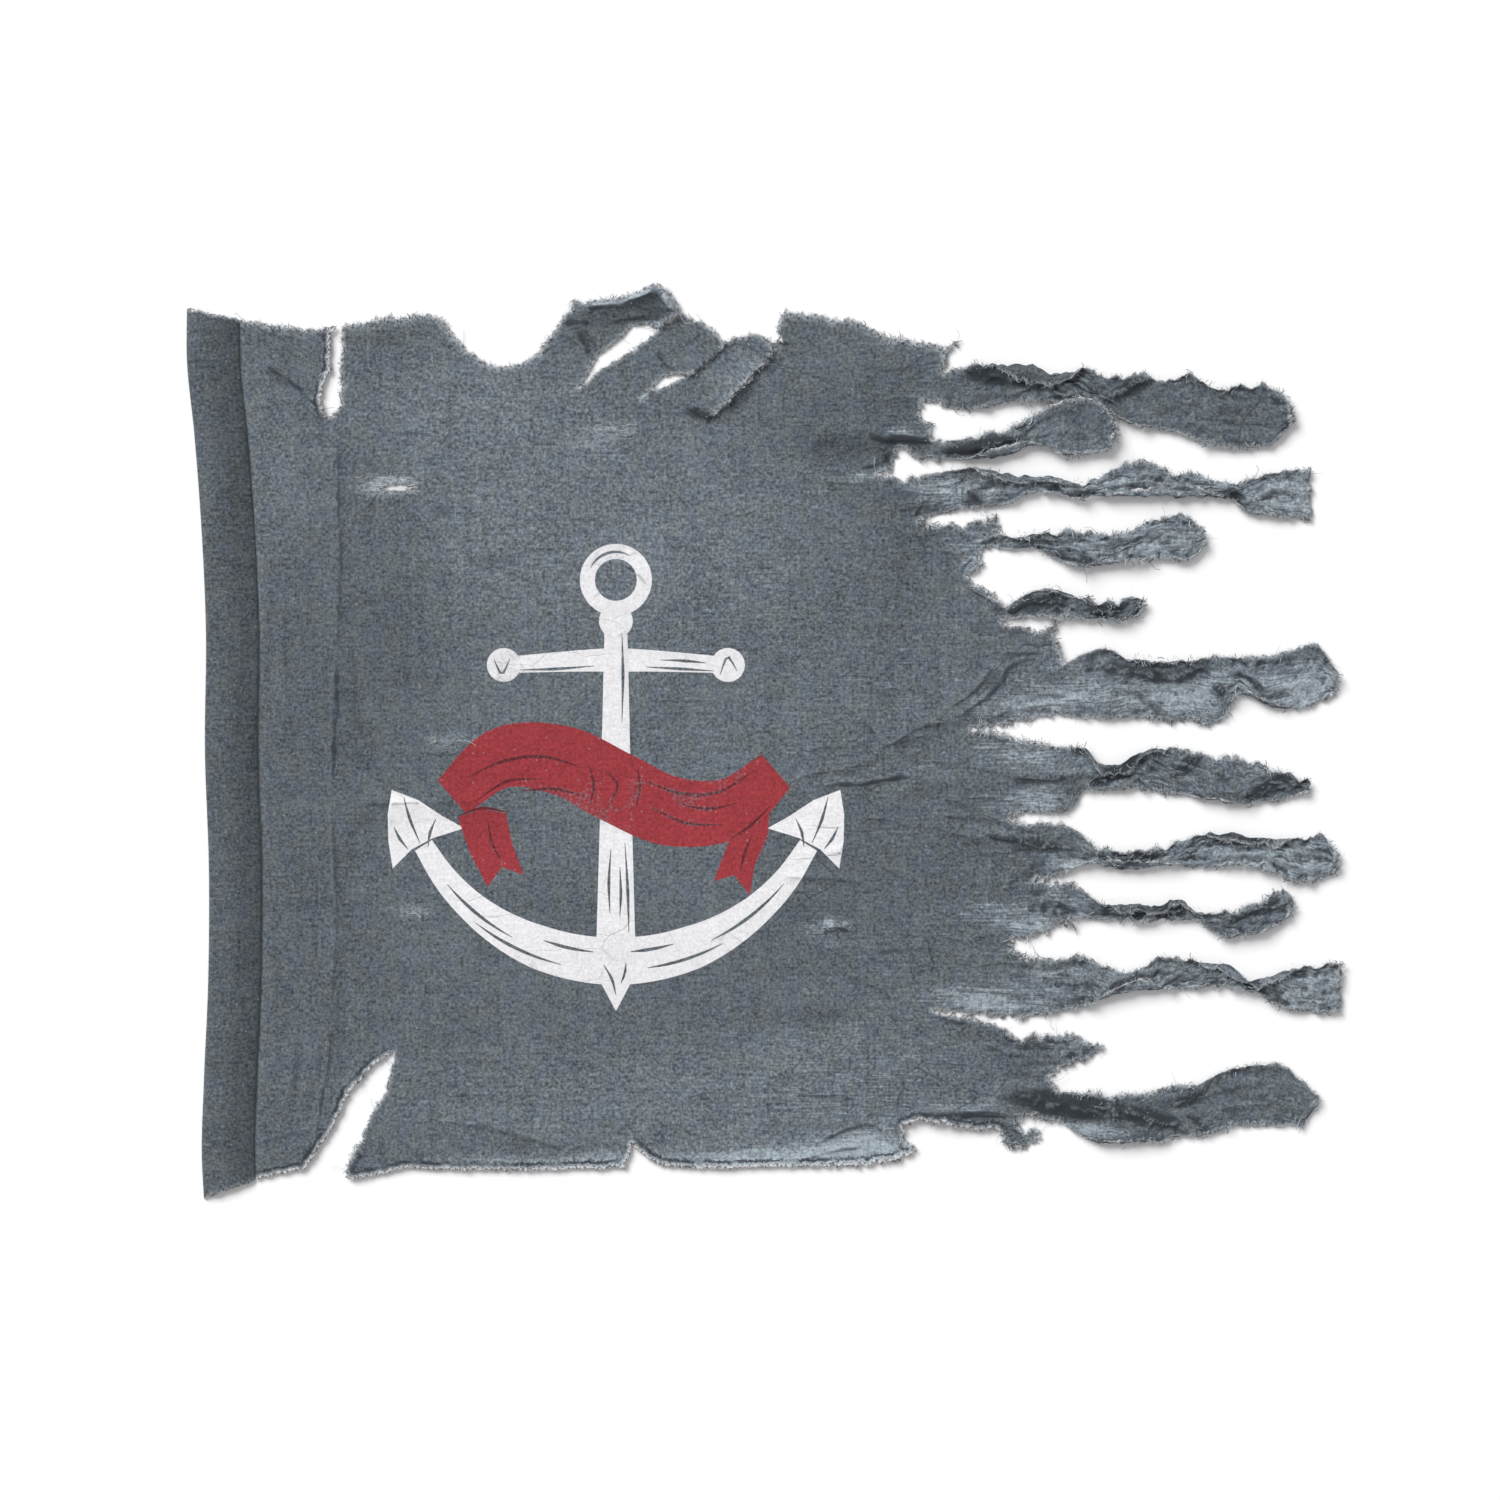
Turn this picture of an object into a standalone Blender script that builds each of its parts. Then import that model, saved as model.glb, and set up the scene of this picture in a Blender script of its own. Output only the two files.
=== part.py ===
# A tattered flag lying flat, face up: one sheet of thin cotton whose fly end is torn into ribbons,
# and a flat pole sleeve along its hoist.
# Cutting sizes are in millimetres. Across runs from the hoist to the fly, with 0 at the sleeve's
# outer edge on average. Down runs from the top edge to the foot, with 0 at the top of the slit.
# The flag rests on z = 0, with the fly towards +X and the top towards +Y.

import math
from collections import namedtuple

import bmesh
import bpy
import numpy as np
from mathutils import Vector
from mathutils.geometry import delaunay_2d_cdt

# Driving dimensions
millimetre = 0.001
sheetThickness = 1.0

# The sleeve's tube: its flat top is narrower than its foot by a shoulder on each side
sleeveWidth = 53.0
sleeveHeight = 7.4
sleeveShoulder = 9.0
sleeveSideHeight = 1.6
sleeveFootInset = 3.0
sleeveCornerInset = 2.6
sleeveLipInset = 0.6
sleeveRings = 20
seamGap = 0.3
seamSteps = 21

# A ribbon's edge rolls over by up to the most turn, in degrees
rollHeight = 8.0
rollReach = math.radians(300)
mostTurn = 200
turnStep = 5
turnPasses = 8
easeLength = 40.0
ribbonPitch = 22.0
ribbonLines = 6
leastPitch = 6.6
waveHeight = 0.7
waveLength = 17.0

# The sheet's mesh, and how far its torn edges stray
bodyPitch = 34.0
edgePitch = 22.0
pointGap = 7.0
creaseRow = 0.9
slitPoints = 12
ragDepth = 1.3
ragAcross = 0.37
ragDown = 0.53
lapSlope = 1.6
lapEnd = 1.25

clothColour = (0.125, 0.148, 0.168)
sleeveColour = (0.085, 0.099, 0.110)
clothRoughness = 0.95

# The shape of one ribbon is its stations: its upper and lower limits as it lies, which of its
# edges has rolled over (1 the upper, -1 the lower), and how far it is lifted off the surface.
Station = namedtuple("Station", "across top bottom edge lift", defaults=(0.0,))
Ribbon = namedtuple("Ribbon", "cloth stations")
Crease = namedtuple("Crease", "across0 down0 across1 down1 width height")
Lap = namedtuple("Lap", "across0 down0 across1 down1 reach moveAcross moveDown lift")
Slit = namedtuple("Slit", "across down length width tilt")

# Outer edge of the sleeve: down, across
sleeveRows = [
    (8, -13), (60, -13), (130, -6), (220, 1), (330, 6), (450, 5),
    (570, 9), (690, 8), (780, 4), (860, 2), (898, 4),
]
sleeveTop = (8.0, 20.0)
sleeveFoot = (898.0, 880.0)

# Torn edges of the sheet, in order from the sleeve's top: across, down
topLeft = [(50, 22), (70, 26), (100, 28), (125, 28), (136, 27)]
topSlit = [
    (131, 37), (130, 55), (132, 70), (127, 78), (123, 90), (121, 102), (125, 115), (131, 118),
    (138, 112), (141, 105), (142, 85), (144, 60), (146, 40), (144, 27),
]
topBite = [
    (165, 21), (200, 17), (230, 13), (240, 20), (250, 32), (270, 52), (285, 61), (300, 67),
    (320, 64), (340, 51), (350, 37),
]
upperTongue = [
    (357, 25), (362, 16), (370, 11), (373, 0), (385, 2), (400, 1), (425, -3), (440, -10),
    (455, -16), (467, -11), (474, -2), (479, 8),
]
upperTear = [
    (464, 18), (452, 26), (440, 27), (430, 29), (424, 36), (414, 48), (404, 54), (396, 59),
    (390, 72), (383, 85), (390, 86), (400, 77), (415, 65), (435, 50), (451, 37), (459, 29),
    (470, 22), (482, 14), (488, 17),
]
middleTongue = [(500, 22), (512, 30), (520, 38)]
middleTear = [
    (513, 49), (503, 60), (488, 69), (475, 77), (462, 84), (450, 94), (444, 99), (453, 97),
    (467, 89), (479, 82), (490, 72), (505, 64), (515, 52), (525, 41),
]
lowerTongue = [(540, 36), (552, 31), (560, 34), (566, 39)]
lowerTear = [
    (566, 46), (562, 55), (553, 64), (543, 73), (534, 83), (525, 94), (517, 104), (511, 113),
    (520, 106), (529, 94), (538, 84), (547, 74), (557, 65), (566, 57), (572, 49), (576, 40),
    (579, 28), (580, 18),
]
topRight = [
    (584, 12), (600, 13), (630, 18), (660, 25), (690, 34), (720, 43), (738, 46), (757, 41), (752, 51),
    (745, 60),
]
foot = [
    (600, 867), (500, 868), (460, 865), (446, 857), (438, 849), (432, 843), (430, 853), (425, 868),
    (330, 870), (250, 870), (210, 868), (195, 870), (175, 875), (160, 878), (148, 879),
]
footNotch = [
    (145, 872), (147, 864), (152, 855), (160, 842), (165, 828), (170, 815), (180, 802), (188, 785),
    (192, 768), (193, 754), (180, 760), (170, 768), (162, 778), (150, 792), (143, 808), (137, 822),
    (130, 834), (120, 848), (112, 858), (107, 868),
]
footLeft = [(98, 871), (80, 873), (66, 877)]

# Fly ribbons from the top down, each with the width of its cloth and its stations:
# across, top, bottom, edge, lift
ribbons = [
    Ribbon(66, [
        (745, 72, 108, 0), (775, 64, 109, 0), (800, 65, 104, 1), (835, 68, 101, 1), (857, 76, 104, 1),
        (880, 71, 102, 1), (910, 77, 106, -1), (940, 74, 125, -1), (965, 80, 128, 1), (985, 74, 136, 1),
        (1015, 87, 146, 1), (1050, 85, 148, 1), (1075, 90, 143, 0), (1092, 107, 125, 0),
    ]),
    Ribbon(48, [
        (745, 141, 159, -1), (775, 138, 159, -1), (805, 129, 156, -1, 1.0), (835, 115, 146, -1, 3.0),
        (862, 101, 154, -1, 4.0), (890, 100, 156, 0, 4.0), (905, 108, 152, 0, 4.0),
        (914, 122, 143, 0, 4.0),
    ]),
    Ribbon(50, [
        (725, 174, 218, 1), (755, 171, 211, 1), (785, 170, 207, 1), (810, 176, 204, 1),
        (830, 178, 193, 1), (855, 178, 195, 1), (878, 186, 199, 1), (900, 178, 197, -1),
        (920, 166, 197, -1), (945, 163, 197, -1), (975, 174, 197, -1), (1005, 176, 197, -1),
        (1025, 185, 198, -1), (1045, 181, 212, 1), (1070, 175, 217, 1), (1110, 168, 220, 1),
    ]),
    Ribbon(46, [
        (798, 234, 249, 1), (812, 237, 250, 1), (830, 237, 249, 1), (850, 235, 256, 1),
        (870, 232, 265, -1), (900, 233, 265, -1), (930, 231, 262, -1), (955, 219, 260, 1),
        (980, 214, 260, 1), (995, 220, 258, 0), (1004, 232, 248, 0),
    ]),
    Ribbon(36, [
        (810, 304, 319, 1), (835, 290, 317, 1), (860, 292, 316, 1), (880, 297, 319, 1),
        (905, 304, 321, -1), (930, 297, 317, -1), (943, 300, 308, 0),
    ]),
    Ribbon(72, [
        (862, 364, 416, 1), (875, 358, 417, 1), (898, 348, 418, 1), (930, 360, 418, 1),
        (960, 361, 420, 1), (990, 361, 420, 1), (1022, 356, 418, 1), (1036, 356, 395, -1),
        (1062, 355, 404, -1), (1090, 352, 410, -1), (1120, 348, 401, 0), (1135, 370, 394, 0),
    ]),
    Ribbon(60, [
        (830, 442, 513, 1), (855, 445, 512, 1), (870, 446, 510, 1), (882, 449, 493, 1),
        (900, 463, 489, 1), (918, 466, 488, 1), (940, 452, 489, 1), (965, 448, 493, 1),
        (1000, 455, 498, -1), (1040, 460, 503, -1), (1075, 469, 500, 0), (1108, 482, 492, 0),
    ]),
    Ribbon(52, [
        (860, 523, 577, -1), (880, 532, 565, -1), (895, 548, 563, -1), (920, 549, 569, -1),
        (950, 549, 566, -1), (975, 545, 564, -1), (1000, 534, 567, 1), (1035, 534, 567, 1),
        (1070, 540, 571, 1), (1100, 538, 582, 1), (1125, 541, 578, 0), (1137, 556, 570, 0),
    ]),
    Ribbon(38, [
        (880, 587, 617, 1), (900, 603, 619, 1), (930, 605, 619, 1), (958, 605, 620, 1),
        (975, 599, 620, 1), (1000, 612, 622, 1), (1012, 611, 633, -1), (1045, 608, 634, -1),
        (1070, 596, 628, -1), (1084, 590, 620, 0), (1091, 601, 611, 0),
    ]),
    Ribbon(52, [
        (830, 657, 716, -1), (860, 658, 712, -1), (885, 657, 706, -1), (903, 664, 697, -1),
        (920, 673, 692, -1), (940, 665, 689, -1), (965, 656, 688, -1), (1000, 661, 687, 1),
        (1030, 667, 687, 1), (1047, 680, 690, 1), (1065, 676, 697, 1), (1082, 672, 707, 1),
        (1110, 666, 712, 1), (1140, 662, 712, 1),
    ]),
    Ribbon(64, [
        (860, 791, 821, -1), (885, 793, 838, -1), (915, 795, 842, -1), (945, 792, 841, -1),
        (970, 785, 838, -1), (995, 784, 837, 1), (1025, 770, 829, 1), (1055, 764, 825, 1),
        (1085, 767, 826, 1), (1102, 782, 824, 0), (1117, 796, 803, 0),
    ]),
]

# Edges between one ribbon's root and the next: across, down
gapsBelow = [
    [(730, 104), (721, 103), (722, 112), (727, 124), (735, 138)],
    [(728, 160), (714, 156), (700, 151), (697, 160), (690, 169), (676, 174), (700, 177)],
    [(718, 221), (740, 225), (760, 224), (785, 221), (796, 216), (799, 225)],
    [(790, 246), (782, 252), (785, 263), (780, 271), (764, 275), (775, 286), (790, 295), (802, 303)],
    [(804, 321), (818, 329), (838, 332), (847, 326), (853, 321), (856, 335), (857, 352)],
    [(840, 417), (820, 421), (800, 426), (770, 429), (800, 434), (818, 440)],
    [(818, 516), (810, 519), (825, 524), (845, 524)],
    [(850, 579), (836, 580), (850, 582), (868, 581)],
    [(868, 619), (877, 630), (861, 622), (850, 630), (830, 636), (811, 640), (814, 652)],
    [
        (810, 719), (780, 714), (750, 710), (736, 711), (750, 717), (785, 721), (800, 730), (815, 737),
        (840, 734), (860, 735), (885, 739), (902, 744), (905, 752), (890, 757), (872, 763), (858, 771),
        (850, 777), (853, 785),
    ],
    [
        (845, 817), (830, 813), (821, 818), (818, 829), (828, 831), (838, 828), (840, 836), (834, 844),
        (820, 847), (808, 844), (801, 834), (793, 828), (775, 829), (758, 827), (744, 823), (720, 821),
        (705, 823), (702, 831), (705, 840), (715, 846), (717, 852), (708, 857), (685, 863), (660, 866),
    ],
]

# A slit worn through the sheet, its yarns parted
slits = [Slit(195, 187, 38, 8, -5)]

# Creases, as low narrow ridges
creases = [
    Crease(137, 130, 137, 420, 16, 2.2),
    Crease(137, 420, 134, 700, 16, 1.8),
    Crease(134, 700, 118, 835, 16, 2.4),
    Crease(66, 66, 118, 112, 14, 2.0),
    Crease(655, 128, 745, 150, 22, 3.6),
    Crease(655, 185, 725, 196, 26, 2.6),
    Crease(700, 425, 860, 366, 30, 3.4),
    Crease(720, 478, 882, 474, 22, 3.2),
    Crease(770, 532, 880, 548, 20, 3.0),
    Crease(740, 690, 900, 682, 26, 3.0),
    Crease(800, 796, 866, 806, 26, 4.0),
    Crease(690, 826, 806, 818, 16, 2.6),
    Crease(376, 12, 465, 4, 18, 4.0),
    Crease(150, 505, 300, 506, 20, 1.6),
    Crease(230, 820, 350, 842, 26, 2.4),
]

# Broad swells of the sheet
swells = [
    Crease(300, 250, 640, 330, 90, 2.6),
    Crease(330, 640, 640, 560, 110, 2.8),
    Crease(560, 150, 640, 420, 80, 2.2),
    Crease(250, 330, 420, 480, 90, 2.0),
]

# Torn edges that lie over the cloth beside them, on the left of the line from root to tip
laps = [
    Lap(450, 30, 482, 13, 24, 2.0, 6.0, 3.6),
    Lap(513, 112, 576, 40, 34, 6.5, 5.5, 4.0),
]


def smooth(t):
    t = np.clip(t, 0.0, 1.0)
    return t * t * (3 - 2 * t)


def flow(at, rows):
    # A smooth line through a table of two columns
    xs, ys = np.array(rows, float).T
    slopes = np.gradient(ys, xs)
    i = np.clip(np.searchsorted(xs, at) - 1, 0, len(xs) - 2)
    span = xs[i + 1] - xs[i]
    t = (at - xs[i]) / span
    start = (1 + 2 * t) * (1 - t) ** 2 * ys[i] + t * (1 - t) ** 2 * span * slopes[i]
    end = t * t * (3 - 2 * t) * ys[i + 1] - t * t * (1 - t) * span * slopes[i + 1]
    return start + end


def alongLine(points, row):
    # Fraction along the row's line, distance from it and side of it, for each point
    start = np.array([row.across0, row.down0], float)
    line = np.array([row.across1, row.down1], float) - start
    length = np.hypot(*line)
    offset = points - start
    t = offset @ line / length**2
    nearest = np.clip(t, 0, 1)[:, None] * line
    side = offset[:, 0] * line[1] - offset[:, 1] * line[0]
    return t, np.hypot(*(offset - nearest).T), side


def lifted(points):
    # Height of the sheet above the surface, from its creases
    height = np.zeros(len(points))
    for ridge in creases + swells:
        _, away, _ = alongLine(points, ridge)
        height = np.maximum(height, ridge.height * smooth(1 - away / ridge.width))
    return height


def lapped(points):
    # Shift and lift of the torn edges that lie over their neighbours
    move = np.zeros((len(points), 3))
    for lap in laps:
        t, away, side = alongLine(points, lap)
        weight = smooth(1 - away / lap.reach) * smooth(lapSlope * t) * (side > 0) * (t < lapEnd)
        move += weight[:, None] * np.array([lap.moveAcross, lap.moveDown, lap.lift])
    return move


def ragged(points):
    # The torn line with points no further apart than the edge pitch, each pulled a little in or out
    points = np.array(points, float)
    line = [points[0]]
    for a, b in zip(points[:-1], points[1:]):
        count = max(1, math.ceil(np.hypot(*(b - a)) / edgePitch))
        across = np.array([b[1] - a[1], a[0] - b[0]]) / np.hypot(*(b - a))
        for k in range(1, count + 1):
            place = a + (b - a) * k / count
            pull = 0.0 if k == count else ragDepth * math.sin(ragAcross * place[0] + ragDown * place[1])
            line.append(place + across * pull)
    return [tuple(p) for p in line]


def rollCurve(turn, v):
    # Cross-section of unit width whose far end rolls over by the given turn
    straight = 1 - turn / rollReach
    bend = np.clip(v - straight, 0, None) * rollReach
    return np.minimum(v, straight) + np.sin(bend) / rollReach, (1 - np.cos(bend)) / 2


def turnFor(ratio):
    # The turn at which a rolled section looks this much narrower than its cloth
    turns = np.radians(np.arange(0, mostTurn + 1, turnStep))
    fine = np.linspace(0, 1, 200)
    seen = [np.ptp(rollCurve(turn, fine)[0]) for turn in turns]
    return np.interp(-ratio, -np.array(seen), turns)


def ribbonGrid(ribbon):
    # Points of one ribbon, a column of places across it for each station
    stations = [Station(*row) for row in ribbon.stations]
    across, tops, bottoms, edges, lifts = np.array(stations, float).T
    first, last = across[0], across[-1]
    steps = np.linspace(first, last, math.ceil((last - first) / ribbonPitch) + 1)
    stops = np.unique(np.concatenate([across, steps]))
    xs = stops[np.concatenate([[True], np.diff(stops) > leastPitch]) | (stops == last)]
    v = np.linspace(0, 1, ribbonLines + 1)
    top = flow(xs, np.column_stack([across, tops]))
    bottom = flow(xs, np.column_stack([across, bottoms]))
    edge = np.interp(xs, across, edges)
    lift = np.interp(xs, across, lifts)
    ease = smooth((xs - first) / easeLength)
    ratio = 1 - ease * (1 - np.minimum(1, (bottom - top) / ribbon.cloth))
    turn = turnFor(ratio) * edge
    for _ in range(turnPasses):
        turn[1:-1] = (turn[:-2] + 2 * turn[1:-1] + turn[2:]) / 4
    grid = []
    for i, x in enumerate(xs):
        place, height = rollCurve(abs(turn[i]), v)
        place = (place - place.min()) / np.ptp(place)
        span = bottom[i] - top[i]
        wave = waveHeight * ease[i] * (1 - math.cos((x - first) / waveLength + top[0]))
        down = bottom[i] - span * place if turn[i] > 0 else top[i] + span * place
        height = height * rollHeight + wave + lift[i]
        if turn[i] <= 0:
            down, height = down[::-1], height[::-1]
        grid.append(np.stack([np.full(len(v), x), down, height], axis=1))
    return grid


def inside(points, loops):
    # Which points lie inside the outer loop and outside the holes
    hit = np.zeros(len(points), bool)
    for loop in loops:
        ring = np.array(loop, float)
        for (ax, ay), (bx, by) in zip(ring, np.roll(ring, -1, axis=0)):
            spans = (ay > points[:, 1]) != (by > points[:, 1])
            cut = ax + (points[:, 1] - ay) * (bx - ax) / (by - ay if by != ay else 1)
            hit ^= spans & (points[:, 0] < cut)
    return hit


def edgeDistance(points, loops):
    best = np.full(len(points), 1e9)
    for loop in loops:
        ring = np.array(loop, float)
        for a, b in zip(ring, np.roll(ring, -1, axis=0)):
            line = b - a
            t = np.clip((points - a) @ line / (line @ line), 0, 1)
            best = np.minimum(best, np.hypot(*(points - a - t[:, None] * line).T))
    return best


def slitLoop(slit):
    # A lens-shaped slit
    angles = np.linspace(0, 2 * math.pi, slitPoints, endpoint=False)
    along, wide = np.cos(angles) * slit.length / 2, np.sin(angles) ** 3 * slit.width / 2
    turn = math.radians(slit.tilt)
    across = slit.across + along * math.cos(turn) - wide * math.sin(turn)
    down = slit.down + along * math.sin(turn) + wide * math.cos(turn)
    return list(zip(across, down))


def seam(down):
    return flow(down, sleeveRows) + sleeveWidth + seamGap


def bodyLoop(grids):
    # The sheet's outline, with each ribbon cut off at its root
    top = (seam(sleeveTop[1]), sleeveTop[1])
    bottom = (seam(sleeveFoot[1]), sleeveFoot[1])
    line = [top, *topLeft, *topSlit, *topBite, *upperTongue, *upperTear, *middleTongue]
    line += [*middleTear, *lowerTongue, *lowerTear, *topRight]
    loop = [top]
    for grid, gap in zip(grids, gapsBelow):
        root = [tuple(place[:2]) for place in grid[0][::-1]]
        loop += ragged([*line, root[0]])[1:-1] + root
        line = [root[-1], *gap]
    loop += ragged([*line, *foot, *footNotch, *footLeft, bottom])[1:]
    steps = np.linspace(sleeveFoot[1], sleeveTop[1], seamSteps + 1)[1:-1]
    return loop + [(seam(down), down) for down in steps]


def bodyPoints(loops):
    # Places inside the sheet: rows along each crease, then an even field of them
    rows = [np.array([-1e3, -1e3])]
    for crease in creases:
        start = np.array([crease.across0, crease.down0], float)
        line = np.array([crease.across1, crease.down1], float) - start
        normal = np.array([-line[1], line[0]]) / np.hypot(*line)
        for side in (-creaseRow, 0.0, creaseRow):
            for t in np.linspace(0, 1, max(2, round(np.hypot(*line) / bodyPitch) + 1)):
                place = start + line * t + normal * side * crease.width
                if np.hypot(*(np.array(rows) - place).T).min() > pointGap:
                    rows.append(place)
    rows = np.array(rows)
    low, high = np.min(loops[0], axis=0), np.max(loops[0], axis=0)
    field = []
    for j, down in enumerate(np.arange(low[1], high[1], bodyPitch * math.sqrt(3) / 2)):
        for across in np.arange(low[0] + (j % 2) * bodyPitch / 2, high[0], bodyPitch):
            if np.hypot(*(rows - (across, down)).T).min() > bodyPitch / 2:
                field.append((across, down))
    points = np.concatenate([rows, field])
    points = points[inside(points, loops)]
    return points[edgeDistance(points, loops) > pointGap]


def bodyMesh(grids):
    # The sheet without its ribbons: its points flat, the same as they lie, and its triangles
    holes = [slitLoop(slit) for slit in slits]
    outline = bodyLoop(grids)
    loops = [outline, *holes]
    points = [tuple(p) for loop in loops for p in loop]
    edges = []
    start = 0
    for loop in loops:
        edges += [(start + i, start + (i + 1) % len(loop)) for i in range(len(loop))]
        start += len(loop)
    points += [tuple(p) for p in bodyPoints(loops)]
    flat, _, faces, _, _, _ = delaunay_2d_cdt([Vector(p) for p in points], edges, [], 0, 1e-4)
    flat = np.array([tuple(p) for p in flat])
    centres = np.array([flat[list(face)].mean(axis=0) for face in faces])
    faces = [tuple(face) for face, keep in zip(faces, inside(centres, loops)) if keep]
    move = lapped(flat)
    return flat, np.column_stack([flat + move[:, :2], lifted(flat) + move[:, 2]]), faces


def clothParts():
    # One surface: the sheet's triangles and the ribbons' grids, which share their root points
    grids = [ribbonGrid(ribbon) for ribbon in ribbons]
    flat, places, faces = bodyMesh(grids)
    points = [tuple(p) for p in places]
    for grid in grids:
        columns = []
        for i, column in enumerate(grid):
            if i == 0:
                columns.append([int(np.hypot(*(flat - p[:2]).T).argmin()) for p in column])
                continue
            base = lifted(column[:, :2])
            columns.append(list(range(len(points), len(points) + len(column))))
            points += [(p[0], p[1], p[2] + z) for p, z in zip(column, base)]
        for left, right in zip(columns[:-1], columns[1:]):
            for j in range(ribbonLines):
                faces.append((left[j], right[j], right[j + 1], left[j + 1]))
    return points, faces


def sleeveParts():
    # A flat tube that follows the hoist: rings of an outer and an inner section
    wall = sheetThickness
    footInset, lipInset = sleeveFootInset + wall, sleeveShoulder + sleeveLipInset
    innerTop, innerSide = sleeveHeight - wall, 2 * wall
    outer = [
        (sleeveFootInset, 0), (sleeveWidth - sleeveFootInset, 0), (sleeveWidth, sleeveSideHeight),
        (sleeveWidth - sleeveShoulder, sleeveHeight), (sleeveShoulder, sleeveHeight), (0, sleeveSideHeight),
    ]
    inner = [
        (footInset, wall), (sleeveWidth - footInset, wall), (sleeveWidth - sleeveCornerInset, innerSide),
        (sleeveWidth - lipInset, innerTop), (lipInset, innerTop), (sleeveCornerInset, innerSide),
    ]
    points, faces = [], []
    for k in range(sleeveRings + 1):
        for across, height in outer + inner:
            part = across / sleeveWidth
            first = sleeveTop[0] + (sleeveTop[1] - sleeveTop[0]) * part
            last = sleeveFoot[0] + (sleeveFoot[1] - sleeveFoot[0]) * part
            down = first + (last - first) * k / sleeveRings
            points.append((flow(down, sleeveRows) + across, down, height))
    size = len(outer)
    for k in range(sleeveRings):
        for j in range(size):
            a, b = k * 2 * size + j, k * 2 * size + (j + 1) % size
            c, d = a + 2 * size, b + 2 * size
            faces.append((a, b, d, c))
            faces.append((a + size, c + size, d + size, b + size))
    for k, order in ((0, 1), (sleeveRings, -1)):
        for j in range(size):
            a, b = k * 2 * size + j, k * 2 * size + (j + 1) % size
            faces.append((a, a + size, b + size, b)[::order])
    return points, faces


def material(name, colour):
    finish = bpy.data.materials.new(name)
    finish.use_nodes = True
    shader = finish.node_tree.nodes["Principled BSDF"]
    shader.inputs["Base Color"].default_value = (*colour, 1)
    shader.inputs["Roughness"].default_value = clothRoughness
    shader.inputs["Metallic"].default_value = 0.0
    return finish


def addObject(name, points, faces, finish, centre):
    # Cutting coordinates to metres, with down turned to -Y
    places = (np.array(points) - (centre[0], centre[1], 0)) * (1, -1, 1) * millimetre
    mesh = bpy.data.meshes.new(name)
    mesh.from_pydata(places.tolist(), [], faces)
    shape = bmesh.new()
    shape.from_mesh(mesh)
    bmesh.ops.recalc_face_normals(shape, faces=shape.faces)
    shape.to_mesh(mesh)
    shape.free()
    mesh.materials.append(finish)
    made = bpy.data.objects.new(name, mesh)
    bpy.context.scene.collection.objects.link(made)
    return made


def faceUp(made):
    # The open sheet's faces look up, so that its thickness is added above
    shape = bmesh.new()
    shape.from_mesh(made.data)
    if sum(face.normal.z * face.calc_area() for face in shape.faces) < 0:
        bmesh.ops.reverse_faces(shape, faces=shape.faces)
    shape.to_mesh(made.data)
    shape.free()


def main():
    for old in list(bpy.data.objects):
        bpy.data.objects.remove(old)
    cloth, clothFaces = clothParts()
    sleeve, sleeveFaces = sleeveParts()
    everything = np.array(cloth + sleeve)
    centre = (everything.min(axis=0) + everything.max(axis=0)) / 2
    sheet = addObject("flag_cloth", cloth, clothFaces, material("flag_cotton", clothColour), centre)
    faceUp(sheet)
    solid = sheet.modifiers.new("thickness", "SOLIDIFY")
    solid.thickness = sheetThickness * millimetre
    solid.offset = 1
    solid.use_even_offset = False
    addObject("hoist_sleeve", sleeve, sleeveFaces, material("sleeve_cotton", sleeveColour), centre)


main()
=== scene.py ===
import math
from collections import namedtuple

import bpy
import numpy as np
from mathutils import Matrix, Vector
from mathutils.geometry import delaunay_2d_cdt
from mathutils.kdtree import KDTree


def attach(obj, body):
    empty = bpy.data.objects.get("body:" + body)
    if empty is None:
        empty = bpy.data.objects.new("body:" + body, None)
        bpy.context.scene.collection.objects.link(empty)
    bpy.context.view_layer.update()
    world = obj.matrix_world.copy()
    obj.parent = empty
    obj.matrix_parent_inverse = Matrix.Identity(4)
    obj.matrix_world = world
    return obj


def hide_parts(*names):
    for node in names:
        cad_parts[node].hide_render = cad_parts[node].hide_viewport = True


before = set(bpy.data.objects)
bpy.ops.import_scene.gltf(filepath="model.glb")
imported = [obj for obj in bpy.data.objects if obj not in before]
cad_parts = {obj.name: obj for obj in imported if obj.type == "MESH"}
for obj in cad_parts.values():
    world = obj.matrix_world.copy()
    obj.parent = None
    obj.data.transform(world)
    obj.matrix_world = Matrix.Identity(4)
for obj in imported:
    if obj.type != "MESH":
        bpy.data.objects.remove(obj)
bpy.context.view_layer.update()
print("frame loaded:", len(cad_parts), "nodes")

# Cutting sizes are in millimetres: across runs from hoist to fly, down from the top to the foot.
millimetre = 0.001
cutMiddle = (563.4, 441.0)  # the frame's origin, across and down
farAway = 50.0  # stands for no edge or crease nearby

Ribbon = namedtuple("Ribbon", "cloth stations")
Ridge = namedtuple("Ridge", "across0 down0 across1 down1 width height")
Lap = namedtuple("Lap", "across0 down0 across1 down1 reach moveAcross moveDown lift")
Crease = namedtuple("Crease", "width height soil shade places")
Patch = namedtuple("Patch", "across down long wide tilt strength")
Slit = namedtuple("Slit", "across down length width tilt")

# Outer edge of the sleeve: down, across
sleeveRows = [
    (8, -13), (60, -13), (130, -6), (220, 1), (330, 6), (450, 5),
    (570, 9), (690, 8), (780, 4), (860, 2), (898, 4),
]
sleeveTop = (8.0, 20.0)
sleeveFoot = (898.0, 880.0)

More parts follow.
